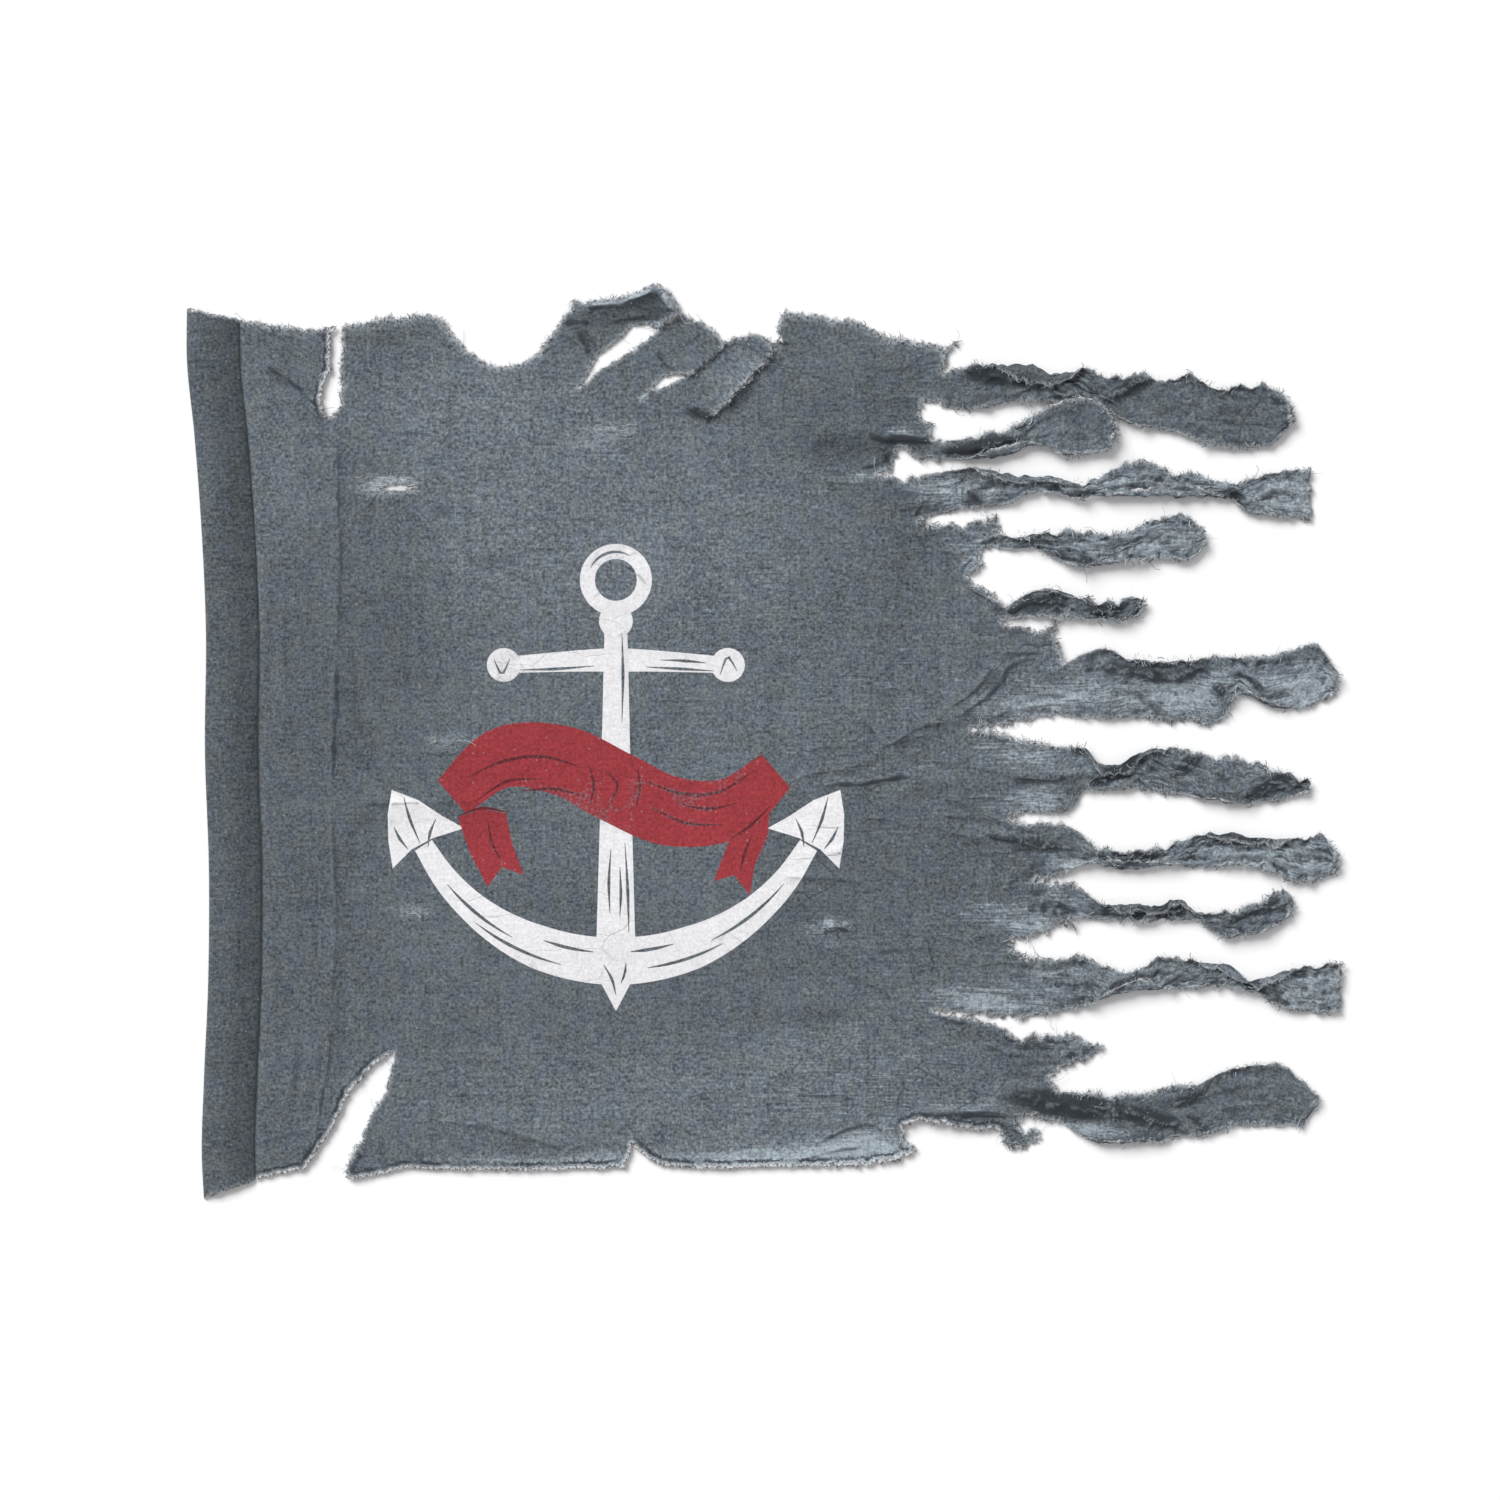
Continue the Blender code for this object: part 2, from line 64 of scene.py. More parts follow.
# Torn edges of the sheet, in order from the sleeve's top: across, down
topLeft = [(50, 22), (70, 26), (100, 28), (125, 28), (136, 27)]
topSlit = [
    (131, 37), (130, 55), (132, 70), (127, 78), (123, 90), (121, 102), (125, 115), (131, 118),
    (138, 113), (140, 105), (140, 88), (141, 60), (142, 42), (142, 27),
]
topBite = [
    (165, 21), (200, 17), (230, 13), (240, 20), (250, 32), (270, 52), (285, 61), (300, 67),
    (320, 64), (340, 51), (350, 37),
]
upperTongue = [
    (357, 25), (362, 16), (370, 11), (373, 0), (385, 2), (400, 1), (425, -3), (440, -10),
    (455, -16), (467, -11), (474, -2), (479, 8),
]
upperTear = [
    (464, 18), (454, 27), (446, 25), (432, 26), (424, 36), (414, 45), (404, 52), (397, 56),
    (391, 69), (384, 82), (378, 88), (386, 84), (393, 76), (401, 69), (417, 60), (435, 48),
    (451, 36), (459, 29), (470, 22), (482, 14), (488, 17),
]
middleTongue = [(500, 22), (512, 30), (520, 38)]
middleTear = [
    (513, 49), (503, 60), (490, 68), (480, 73), (470, 76), (462, 79), (456, 84), (453, 90), (460, 89),
    (468, 86), (477, 81), (490, 71), (505, 62), (515, 51), (525, 41),
]
lowerTongue = [(540, 36), (552, 31), (560, 34), (566, 39)]
lowerTear = [
    (566, 46), (562, 55), (553, 64), (543, 73), (534, 83), (525, 94), (517, 104), (511, 113),
    (520, 106), (529, 94), (538, 84), (547, 74), (557, 65), (566, 57), (572, 49), (576, 40),
    (579, 28), (580, 18),
]
topRight = [
    (584, 12), (600, 13), (630, 18), (660, 25), (690, 34), (720, 43), (738, 46), (757, 41), (752, 51),
    (745, 60),
]
foot = [
    (600, 867), (500, 868), (460, 865), (446, 857), (438, 849), (432, 843), (430, 853), (425, 868),
    (330, 870), (250, 870), (210, 868), (195, 870), (175, 875), (160, 878), (148, 879),
]
footNotch = [
    (145, 872), (147, 864), (152, 855), (160, 842), (165, 828), (170, 815), (180, 802), (188, 785),
    (192, 768), (193, 754), (180, 760), (170, 768), (162, 778), (150, 792), (143, 808), (137, 822),
    (130, 834), (120, 848), (112, 858), (107, 868),
]
footLeft = [(98, 871), (80, 873), (66, 877)]

# Fly ribbons from the top down, each with the width of its cloth and its stations:
# across, top, bottom, the edge that has rolled over (1 the upper, -1 the lower), lift
ribbons = [
    Ribbon(66, [
        (745, 72, 108, 0), (775, 64, 109, 0), (800, 65, 104, 1), (835, 68, 101, 1), (857, 76, 104, 1),
        (880, 71, 104, 1), (910, 77, 115, -1), (940, 74, 127, -1), (965, 80, 130, 1), (985, 74, 137, 1),
        (1015, 87, 146, 1), (1050, 85, 148, 1), (1075, 90, 143, 0), (1092, 107, 125, 0),
    ]),
    Ribbon(48, [
        (745, 141, 159, -1), (775, 138, 159, -1), (805, 129, 156, -1, 1.0), (835, 115, 146, -1, 3.0),
        (862, 101, 154, -1, 4.0), (890, 100, 156, 0, 4.0), (905, 108, 152, 0, 4.0),
        (914, 122, 143, 0, 4.0),
    ]),
    Ribbon(50, [
        (725, 174, 218, 1), (755, 171, 211, 1), (785, 170, 207, 1), (810, 176, 204, 1),
        (830, 178, 193, 1), (855, 178, 195, 1), (878, 186, 199, 1), (900, 178, 197, -1),
        (920, 166, 197, -1), (945, 163, 197, -1), (975, 174, 197, -1), (1005, 176, 197, -1),
        (1025, 185, 198, -1), (1045, 181, 212, 1), (1070, 175, 217, 1), (1110, 168, 220, 1),
    ]),
    Ribbon(46, [
        (798, 234, 249, 1), (812, 237, 250, 1), (830, 237, 249, 1), (850, 235, 256, 1),
        (870, 232, 265, -1), (900, 233, 265, -1), (930, 231, 262, -1), (955, 219, 260, 1),
        (980, 214, 260, 1), (995, 220, 258, 0), (1004, 232, 248, 0),
    ]),
    Ribbon(36, [
        (810, 304, 319, 1), (835, 290, 317, 1), (860, 292, 316, 1), (880, 297, 319, 1),
        (905, 304, 321, -1), (930, 297, 317, -1), (943, 300, 308, 0),
    ]),
    Ribbon(72, [
        (862, 364, 416, 1), (875, 358, 417, 1), (898, 348, 418, 1), (930, 360, 418, 1),
        (960, 361, 420, 1), (990, 361, 420, 1), (1022, 356, 418, 1), (1036, 356, 395, -1),
        (1062, 355, 404, -1), (1090, 352, 410, -1), (1120, 348, 401, 0), (1135, 370, 394, 0),
    ]),
    Ribbon(60, [
        (830, 442, 513, 1), (855, 445, 512, 1), (870, 446, 510, 1), (882, 449, 493, 1),
        (900, 463, 489, 1), (918, 466, 488, 1), (940, 452, 489, 1), (965, 448, 493, 1),
        (1000, 455, 498, -1), (1040, 460, 503, -1), (1075, 469, 500, 0), (1108, 482, 492, 0),
    ]),
    Ribbon(52, [
        (860, 523, 577, -1), (880, 532, 565, -1), (895, 548, 563, -1), (920, 549, 569, -1),
        (950, 549, 566, -1), (975, 545, 564, -1), (1000, 534, 567, 1), (1035, 534, 567, 1),
        (1070, 540, 571, 1), (1100, 538, 582, 1), (1125, 541, 578, 0), (1137, 556, 570, 0),
    ]),
    Ribbon(38, [
        (880, 587, 617, 1), (900, 603, 619, 1), (930, 605, 619, 1), (958, 605, 620, 1),
        (975, 599, 620, 1), (1000, 612, 622, 1), (1012, 611, 633, -1), (1045, 608, 634, -1),
        (1070, 596, 628, -1), (1084, 590, 620, 0), (1091, 601, 611, 0),
    ]),
    Ribbon(52, [
        (830, 657, 716, -1), (860, 658, 712, -1), (885, 657, 706, -1), (903, 664, 697, -1),
        (920, 673, 692, -1), (940, 665, 689, -1), (965, 656, 688, -1), (1000, 661, 687, 1),
        (1030, 667, 687, 1), (1047, 680, 690, 1), (1065, 676, 697, 1), (1082, 672, 707, 1),
        (1110, 666, 712, 1), (1140, 662, 712, 1),
    ]),
    Ribbon(64, [
        (860, 791, 821, -1), (885, 793, 838, -1), (915, 795, 842, -1), (945, 792, 841, -1),
        (970, 785, 838, -1), (995, 784, 837, 1), (1025, 770, 829, 1), (1055, 764, 825, 1),
        (1085, 767, 826, 1), (1102, 782, 824, 0), (1117, 796, 803, 0),
    ]),
]

# How ragged each ribbon's lower and upper edges are
ribbonRags = [
    (0.25, 1.2), (0.8, 0.7), (0.35, 1.2), (0.5, 1.0), (1.0, 1.2), (0.7, 0.7), (0.4, 1.2), (0.5, 1.1),
    (0.6, 1.1), (0.3, 1.0), (0.9, 0.3),
]

# Edges between one ribbon's root and the next: across, down
gapsBelow = [
    [(730, 104), (721, 103), (722, 112), (727, 124), (735, 138)],
    [(728, 160), (714, 156), (700, 151), (697, 160), (690, 169), (676, 174), (700, 177)],
    [(718, 221), (740, 225), (760, 224), (785, 221), (796, 216), (799, 225)],
    [(790, 246), (782, 252), (785, 263), (780, 271), (764, 275), (775, 286), (790, 295), (802, 303)],
    [(804, 321), (818, 329), (838, 332), (847, 326), (853, 321), (856, 335), (857, 352)],
    [(840, 417), (820, 421), (800, 426), (770, 429), (800, 434), (818, 440)],
    [(818, 516), (810, 519), (825, 524), (845, 524)],
    [(850, 579), (836, 580), (850, 582), (868, 581)],
    [(868, 619), (877, 630), (861, 622), (850, 630), (830, 636), (811, 640), (814, 652)],
    [
        (810, 719), (780, 714), (750, 710), (736, 711), (750, 717), (785, 721), (800, 730), (815, 737),
        (840, 734), (860, 735), (885, 739), (902, 744), (905, 752), (890, 757), (872, 763), (858, 771),
        (850, 777), (853, 785),
    ],
    [
        (845, 817), (830, 813), (821, 818), (818, 829), (828, 831), (838, 828), (840, 836), (834, 844),
        (820, 847), (808, 844), (801, 834), (793, 828), (775, 829), (758, 827), (744, 823), (720, 821),
        (705, 823), (702, 831), (705, 840), (715, 846), (717, 852), (708, 857), (685, 863), (660, 866),
    ],
]

slits = [Slit(196, 188, 32, 6, -5)]

# Low ridges and broad swells that the solid has too
ridges = [Ridge(*row) for row in [
    (137, 130, 137, 420, 16, 0.7), (137, 420, 134, 700, 16, 0.6), (134, 700, 118, 835, 16, 0.8),
    (66, 66, 118, 112, 14, 2.0), (655, 128, 745, 150, 22, 3.6), (655, 185, 725, 196, 26, 2.6),
    (700, 425, 860, 366, 30, 3.4), (720, 478, 882, 474, 22, 3.2), (770, 532, 880, 548, 20, 3.0),
    (740, 690, 900, 682, 26, 3.0), (800, 796, 866, 806, 26, 4.0), (690, 826, 806, 818, 16, 2.6),
    (376, 12, 465, 4, 18, 4.0), (150, 505, 300, 506, 20, 1.6), (230, 820, 350, 842, 26, 2.4),
    (300, 250, 640, 330, 90, 2.6), (330, 640, 640, 560, 110, 2.8), (560, 150, 640, 420, 80, 2.2),
    (250, 330, 420, 480, 90, 2.0),
]]

# Torn edges that lie over the cloth beside them, on the left of the line from root to tip
laps = [Lap(*row) for row in [
    (452, 29, 482, 13, 24, 2.0, 6.0, 4.2), (495, 132, 576, 40, 34, 6.5, 5.5, 4.4),
    (474, 82, 522, 41, 20, 5.2, 6.4, 2.2),
]]

# Creases pressed or crumpled into the sheet: half width, height, half width of the painted shade along it,
# how dark that painted shade is, and where each runs
creases = [Crease(*row) for row in [
    # Hoist side
    (5, 0.9, 1.3, 0.9, [(140, 119), (139, 216), (141, 245), (139, 319), (138, 357)]),
    (6, 1.1, 2.0, 1.1, [(138, 350), (136, 404), (134, 451), (133, 490)]),
    (5, 0.9, 1.5, 0.8, [(133, 480), (133, 522), (136, 580), (137, 605), (135, 663), (132, 722)]),
    (5, 1.0, 1.5, 1.0, [(133, 715), (127, 775), (120, 810), (115, 846)]),
    (4, 1.2, 1.4, 1.0, [(62, 63), (89, 81), (118, 107), (125, 112)]),
    (3, 0.6, 1.0, 0.8, [(172, 131), (200, 133), (238, 134)]),
    (3, 0.6, 1.2, 0.8, [(154, 150), (155, 192), (158, 219)]),
    (3, 0.6, 1.0, 0.8, [(197, 201), (196, 216), (197, 234)]),
    (4, 0.7, 1.0, 0.7, [(142, 509), (180, 505), (224, 503), (283, 502)]),
    (3, 0.6, 1.1, 1.0, [(222, 453), (245, 455), (268, 453)]),
    (4, 0.7, 1.3, 0.9, [(230, 797), (231, 812), (230, 826)]),
    (5, 1.2, 1.6, 0.55, [(276, 823), (290, 827), (318, 837), (345, 843), (368, 852)]),
    (4, 0.9, 1.0, 0.7, [(240, 820), (265, 825), (295, 828)]),
    (4, 0.9, 1.2, 0.8, [(366, 852), (376, 848), (388, 843)]),
    (4, 0.8, 1.2, 0.6, [(239, 790), (253, 797), (271, 791)]),
    (3, 0.8, 1.6, 1.1, [(117, 829), (124, 829), (132, 829)]),
    (4, 0.8, 0.9, 0.6, [(54, 846), (80, 836), (117, 829)]),
    (4, 0.7, 1.2, 0.5, [(96, 730), (94, 770), (84, 810), (78, 850)]),
    (4, 0.7, 1.2, 0.5, [(106, 760), (102, 800), (94, 840)]),
    (3, 0.5, 1.4, 0.35, [(153, 350), (156, 390), (153, 440)]),
    (3, 0.5, 0.9, 0.5, [(84, 300), (86, 380), (83, 470)]),
    (3, 0.5, 0.9, 0.4, [(108, 150), (110, 260), (107, 350)]),
    (4, 0.8, 1.0, 0.8, [(459, 180), (480, 198), (495, 213)]),
    (4, 0.8, 1.0, 0.8, [(459, 230), (471, 245), (484, 254)]),
    (4, 0.8, 1.0, 0.9, [(415, 263), (430, 269), (451, 288)]),
    (4, 0.7, 1.0, 0.8, [(506, 277), (515, 284), (525, 289)]),
    (3, 0.6, 1.0, 0.7, [(390, 131), (412, 132), (438, 131)]),
    # Fly side, fanning out of the ribbons' roots
    (5, 1.0, 1.6, 0.7, [(606, 144), (622, 143), (640, 138)]),
    (7, 2.2, 2.8, 1.3, [(664, 130), (676, 138), (706, 140), (738, 142)]),
    (5, 1.4, 1.8, 1.0, [(660, 168), (676, 166), (690, 158)]),
    (4, 0.9, 1.0, 0.6, [(620, 182), (646, 184), (672, 183)]),
    (4, 1.0, 2.0, 0.7, [(682, 183), (694, 183)]),
    (5, 1.4, 1.3, 0.9, [(714, 218), (720, 208), (730, 200)]),
    (4, 1.0, 1.3, 0.8, [(734, 204), (746, 202)]),
    (4, 1.2, 1.3, 0.9, [(763, 184), (762, 196), (762, 208)]),
    (5, 1.4, 1.3, 0.9, [(774, 192), (787, 184), (800, 176)]),
    (5, 1.4, 1.3, 0.9, [(780, 206), (796, 202), (810, 196)]),
    (5, 1.4, 1.2, 0.9, [(736, 229), (756, 224), (788, 222)]),
    (5, 1.6, 1.8, 1.1, [(772, 248), (790, 240), (808, 234), (830, 243), (860, 240)]),
    (4, 1.2, 1.4, 0.9, [(760, 271), (767, 264), (774, 258)]),
    (5, 1.4, 1.5, 1.0, [(762, 286), (778, 294), (800, 306), (816, 308)]),
    (4, 0.8, 1.0, 0.6, [(674, 392), (690, 389), (708, 390), (732, 398), (740, 400)]),
    (3, 0.7, 1.0, 0.6, [(712, 404), (734, 403)]),
    (5, 1.1, 1.5, 1.0, [(746, 410), (760, 402), (776, 390), (788, 376), (796, 364)]),
    (5, 1.2, 1.6, 1.1, [(752, 424), (772, 408), (790, 394), (800, 382), (814, 364), (848, 359)]),
    (5, 1.4, 1.3, 1.0, [(676, 452), (688, 446), (700, 440), (712, 432), (724, 427), (748, 422)]),
    (5, 1.2, 1.1, 0.9, [(688, 447), (704, 442), (730, 434)]),
    (4, 0.8, 1.0, 0.7, [(606, 452), (620, 448), (638, 449)]),
    (4, 1.0, 1.2, 0.7, [(654, 420), (664, 424), (672, 430), (664, 438)]),
    (3, 0.8, 1.2, 0.6, [(570, 212), (574, 224)]), (3, 0.8, 1.2, 0.7, [(653, 228), (655, 237)]),
    (4, 0.7, 1.6, 0.5, [(680, 322), (680, 332), (679, 342)]),
    (4, 1.0, 1.1, 0.9, [(590, 482), (606, 476), (622, 473), (644, 470), (672, 459)]),
    (5, 1.4, 1.4, 1.1, [(616, 486), (646, 484), (662, 484), (678, 481), (696, 478), (720, 476)]),
    (4, 1.0, 1.2, 0.8, [(726, 460), (740, 464), (748, 465), (772, 460)]),
    (4, 0.9, 1.0, 0.7, [(748, 466), (770, 468), (790, 472), (812, 476)]),
    (4, 1.0, 1.0, 0.7, [(698, 497), (708, 487), (724, 493)]),
    (5, 1.0, 1.4, 0.6, [(740, 497), (752, 503), (772, 504), (782, 501)]),
    (4, 1.2, 1.3, 0.9, [(738, 512), (748, 517), (768, 519), (794, 522), (808, 530)]),
    (4, 1.0, 1.0, 0.7, [(730, 527), (746, 532), (770, 538), (786, 541)]),
    (3, 0.9, 0.8, 0.8, [(794, 530), (800, 522), (810, 528), (811, 540), (814, 548)]),
    (4, 0.9, 1.8, 0.6, [(760, 543), (772, 544)]),
    (4, 0.8, 1.0, 0.5, [(780, 552), (800, 556), (820, 558)]),
    (4, 0.8, 1.0, 0.6, [(658, 518), (690, 521), (702, 523)]),
    (4, 0.7, 1.0, 0.5, [(608, 553), (646, 554), (660, 559)]),
    (4, 1.0, 1.1, 0.8, [(676, 566), (688, 570), (700, 580)]),
    (4, 1.0, 1.1, 0.6, [(580, 577), (592, 578), (612, 578), (630, 580), (664, 581)]),
    (3, 0.8, 1.0, 0.6, [(736, 572), (741, 583), (738, 588)]),
    (3, 1.0, 0.9, 0.9, [(792, 578), (800, 580), (802, 584), (814, 580), (822, 580)]),
    (3, 0.9, 0.9, 0.8, [(800, 589), (810, 588), (822, 586)]),
    (4, 1.2, 1.6, 1.1, [(619, 633), (628, 630), (640, 629), (652, 632)]),
    (4, 0.9, 1.0, 0.8, [(672, 653), (688, 651), (700, 650), (732, 648)]),
    (3, 0.7, 1.0, 0.7, [(772, 639), (786, 634)]),
    (5, 1.2, 1.6, 0.9, [(737, 716), (750, 720), (768, 724)]),
    (6, 1.8, 2.0, 1.1, [(792, 724), (803, 730), (810, 738), (840, 736), (862, 746)]),
    (4, 0.8, 0.9, 0.6, [(572, 774), (590, 774), (618, 772)]),
    (4, 0.9, 1.1, 0.7, [(590, 793), (620, 796), (646, 798), (662, 802)]),
    (4, 1.0, 1.2, 0.9, [(664, 818), (674, 814), (688, 817)]),
    (4, 0.8, 1.0, 0.8, [(486, 798), (501, 794), (518, 791)]),
    (6, 1.8, 2.6, 1.2, [(712, 818), (730, 819), (752, 824), (764, 823)]),
    (6, 1.8, 2.6, 1.2, [(756, 816), (780, 814), (812, 816)]),
    # Upper, middle and lower tongues
    (4, 1.4, 1.7, 1.3, [(386, 9), (398, 9), (410, 8), (426, 5)]),
    (4, 1.2, 1.4, 1.1, [(455, 89), (448, 96), (440, 104)]),
    (5, 1.4, 1.3, 0.8, [(404, 24), (424, 20), (446, 16), (468, 14)]),
    (4, 1.0, 1.0, 0.7, [(372, 22), (388, 34), (398, 50)]),
    (4, 0.9, 1.0, 0.6, [(356, 36), (372, 40), (384, 52)]),
    (4, 0.8, 0.9, 0.6, [(440, 52), (462, 56), (478, 48)]),
    (4, 0.9, 1.0, 0.8, [(540, 44), (556, 50), (562, 60)]),
    (4, 0.8, 1.4, 0.8, [(480, 104), (498, 114), (512, 116)]),
    (4, 1.2, 1.3, 1.2, [(452, -8), (462, 2), (470, 12)]),
    (4, 1.0, 1.6, 1.2, [(446, 14), (458, 10), (470, 8), (478, 10)]),
    (4, 1.0, 1.3, 1.0, [(440, 23), (456, 17), (470, 15)]),
    (4, 1.4, 1.4, 1.2, [(418, 6), (432, 1), (446, -4), (456, -8)]),
    (5, 1.4, 2.4, 1.1, [(376, 30), (384, 44), (391, 56)]),
    (5, 1.2, 2.0, 0.9, [(362, 24), (376, 22), (392, 24)]),
    (4, 1.2, 1.3, 0.9, [(458, 48), (461, 60), (470, 68), (480, 73)]),
    (4, 1.0, 1.2, 0.8, [(500, 30), (494, 40), (482, 46)]),
    (4, 1.2, 1.3, 1.0, [(552, 42), (560, 48), (563, 58), (556, 70)]),
    (3, 1.0, 1.1, 1.0, [(462, -4), (458, 6), (450, 12), (446, 20)]),
    (3, 1.0, 1.1, 0.9, [(430, 2), (438, 8), (450, 10), (462, 16)]),
    # Top right
    (4, 1.2, 1.4, 1.0, [(1064, 94), (1076, 100), (1084, 112)]),
    (4, 0.8, 1.0, 0.7, [(676, 74), (704, 68), (730, 64), (748, 62)]),
    (4, 0.9, 1.0, 0.7, [(680, 102), (700, 98), (724, 100), (744, 96)]),
    # First ribbon
    (9, 2.6, 3.4, 1.3, [(758, 72), (780, 72), (806, 80), (838, 82)]),
    (7, 2.2, 2.2, 1.2, [(890, 104), (912, 96), (930, 86), (948, 77), (970, 76)]),
    (7, 2.0, 2.6, 1.2, [(908, 78), (926, 76), (944, 84)]),
    (4, 1.0, 1.0, 0.8, [(770, 96), (792, 94), (818, 98)]),
    (5, 1.2, 1.1, 0.8, [(1000, 96), (1030, 108), (1060, 104)]),
    (5, 1.2, 1.0, 0.7, [(980, 118), (1010, 130), (1044, 128)]),
    # Second
    (9, 2.6, 3.6, 1.3, [(736, 152), (762, 151), (792, 146), (826, 134)]),
    (5, 1.2, 1.2, 0.8, [(840, 118), (862, 110), (884, 112)]),
    (5, 1.2, 1.2, 0.8, [(846, 140), (868, 134), (894, 138)]),
    # Third
    (6, 1.8, 2.2, 1.1, [(764, 190), (776, 200), (786, 212)]),
    (6, 1.8, 2.0, 1.1, [(856, 192), (876, 194), (898, 190)]),
    (6, 1.6, 1.6, 1.0, [(900, 192), (930, 186), (966, 188), (1000, 190)]),
    (7, 2.2, 2.6, 1.2, [(1020, 190), (1034, 194), (1048, 206)]),
    (5, 1.4, 1.1, 0.8, [(1054, 200), (1078, 192), (1104, 196)]),
    (5, 1.2, 0.7, 0.7, [(676, 196), (700, 192), (730, 195), (760, 193)]),
    (4, 1.0, 1.0, 0.7, [(700, 210), (728, 206), (760, 208)]),
    # Fourth
    (6, 1.8, 2.2, 1.1, [(850, 252), (872, 258), (896, 261)]),
    (5, 1.4, 1.1, 0.8, [(880, 248), (920, 244), (958, 236), (986, 238)]),
    (5, 1.2, 1.0, 0.7, [(930, 256), (960, 250), (990, 244)]),
    # Fifth
    (6, 1.8, 2.6, 1.3, [(788, 311), (804, 308), (812, 311), (828, 302), (862, 306)]),
    (6, 1.8, 2.8, 1.3, [(882, 309), (906, 312), (930, 306)]),
    # Sixth
    (8, 2.4, 2.8, 1.2, [(894, 364), (930, 371), (970, 378), (1000, 366), (1014, 358)]),
    (6, 1.8, 1.4, 0.9, [(906, 388), (936, 394), (952, 406), (968, 418)]),
    (6, 1.8, 2.2, 1.1, [(1010, 382), (1020, 390), (1028, 402), (1034, 412)]),
    (5, 1.4, 1.1, 0.8, [(1050, 366), (1080, 372), (1118, 368)]),
    (5, 1.2, 1.0, 0.7, [(1060, 396), (1090, 388), (1124, 384)]),
    (5, 1.2, 1.1, 0.8, [(778, 424), (810, 412), (846, 406), (876, 404)]),
    (5, 1.6, 2.0, 1.2, [(878, 372), (898, 366), (918, 372), (936, 370)]),
    (5, 1.6, 2.0, 1.2, [(1022, 372), (1048, 378), (1062, 392), (1078, 398)]),
    # Seventh
    (5, 1.8, 2.2, 1.4, [(898, 484), (912, 476), (926, 468), (936, 456)]),
    (5, 1.6, 2.0, 1.4, [(974, 476), (986, 470), (998, 456), (1004, 450)]),
    (5, 1.6, 2.0, 1.4, [(1046, 498), (1062, 492), (1080, 480), (1096, 482)]),
    (6, 2.0, 2.2, 1.2, [(808, 477), (836, 478), (860, 477), (884, 474)]),
    (8, 2.4, 3.2, 1.2, [(884, 478), (904, 474), (922, 462), (942, 452)]),
    (6, 1.8, 2.0, 1.1, [(968, 480), (984, 464), (1000, 452)]),
    (6, 1.8, 2.0, 1.1, [(1036, 500), (1056, 490), (1082, 480)]),
    (5, 1.2, 1.1, 0.8, [(930, 484), (944, 470), (952, 458)]),
    (4, 1.0, 0.9, 0.7, [(754, 500), (780, 498), (812, 500), (838, 494)]),
    # Eighth
    (6, 2.0, 2.0, 1.2, [(778, 531), (796, 537), (822, 542), (836, 547), (860, 547), (884, 552)]),
    (8, 2.4, 3.4, 1.3, [(896, 555), (926, 558), (956, 556)]),
    (6, 1.8, 1.6, 1.0, [(1000, 540), (1036, 541), (1076, 546)]),
    (5, 1.2, 1.1, 0.8, [(1010, 560), (1046, 556), (1084, 564), (1110, 574)]),
    (5, 1.6, 2.0, 1.3, [(1000, 538), (1020, 536), (1044, 540), (1068, 542)]),
    (5, 1.6, 1.4, 0.8, [(1088, 556), (1108, 552), (1124, 560)]),
    # Ninth
    (5, 1.6, 1.6, 1.0, [(830, 598), (856, 604), (880, 612)]),
    (6, 1.8, 2.0, 1.1, [(894, 612), (926, 612), (950, 610)]),
    (7, 2.4, 4.0, 1.3, [(950, 608), (964, 612), (984, 610)]),
    (6, 1.6, 1.6, 1.0, [(1016, 626), (1040, 616), (1062, 606), (1080, 600)]),
    # Tenth
    (6, 1.8, 1.8, 1.0, [(800, 674), (836, 676), (868, 682), (902, 684)]),
    (6, 1.8, 2.2, 1.1, [(900, 690), (930, 680), (962, 668)]),
    (5, 1.4, 1.3, 0.8, [(952, 686), (990, 676), (1026, 680)]),
    (7, 2.2, 2.8, 1.2, [(1040, 684), (1060, 688), (1078, 702)]),
    (5, 1.2, 1.0, 0.8, [(1082, 680), (1106, 684), (1132, 678)]),
    (5, 1.2, 1.0, 0.8, [(770, 668), (800, 664), (836, 664), (864, 668)]),
    (5, 1.2, 1.0, 0.8, [(748, 690), (788, 692), (830, 694), (872, 692)]),
    # Flap and tail at the lower fly corner, and the last ribbon
    (12, 0.7, 5.0, 1.6, [(812, 796), (846, 801), (880, 809), (908, 812)]),
    (7, 2.2, 2.4, 1.1, [(918, 808), (944, 816), (966, 824), (984, 820)]),
    (5, 1.8, 2.2, 1.5, [(944, 826), (956, 820), (972, 822), (980, 830)]),
    (5, 1.8, 2.0, 1.3, [(984, 812), (998, 820), (1010, 832)]),
    (5, 1.6, 2.0, 1.2, [(972, 806), (990, 798), (1006, 788)]),
    (6, 1.6, 1.4, 0.9, [(904, 796), (910, 806), (912, 818)]),
    (5, 1.4, 1.2, 0.8, [(990, 800), (1024, 790), (1060, 782)]),
    (5, 1.2, 1.0, 0.7, [(1010, 816), (1044, 806), (1084, 802)]),
    (5, 1.4, 1.2, 0.8, [(780, 742), (800, 752), (826, 756), (850, 764)]),
    (5, 1.2, 1.1, 0.8, [(820, 740), (850, 746), (884, 748)]),
    (5, 1.2, 1.4, 0.9, [(596, 862), (620, 856), (640, 850), (664, 848)]),
    (5, 1.4, 1.3, 0.9, [(610, 846), (632, 836), (652, 828), (672, 826), (690, 836)]),
]]

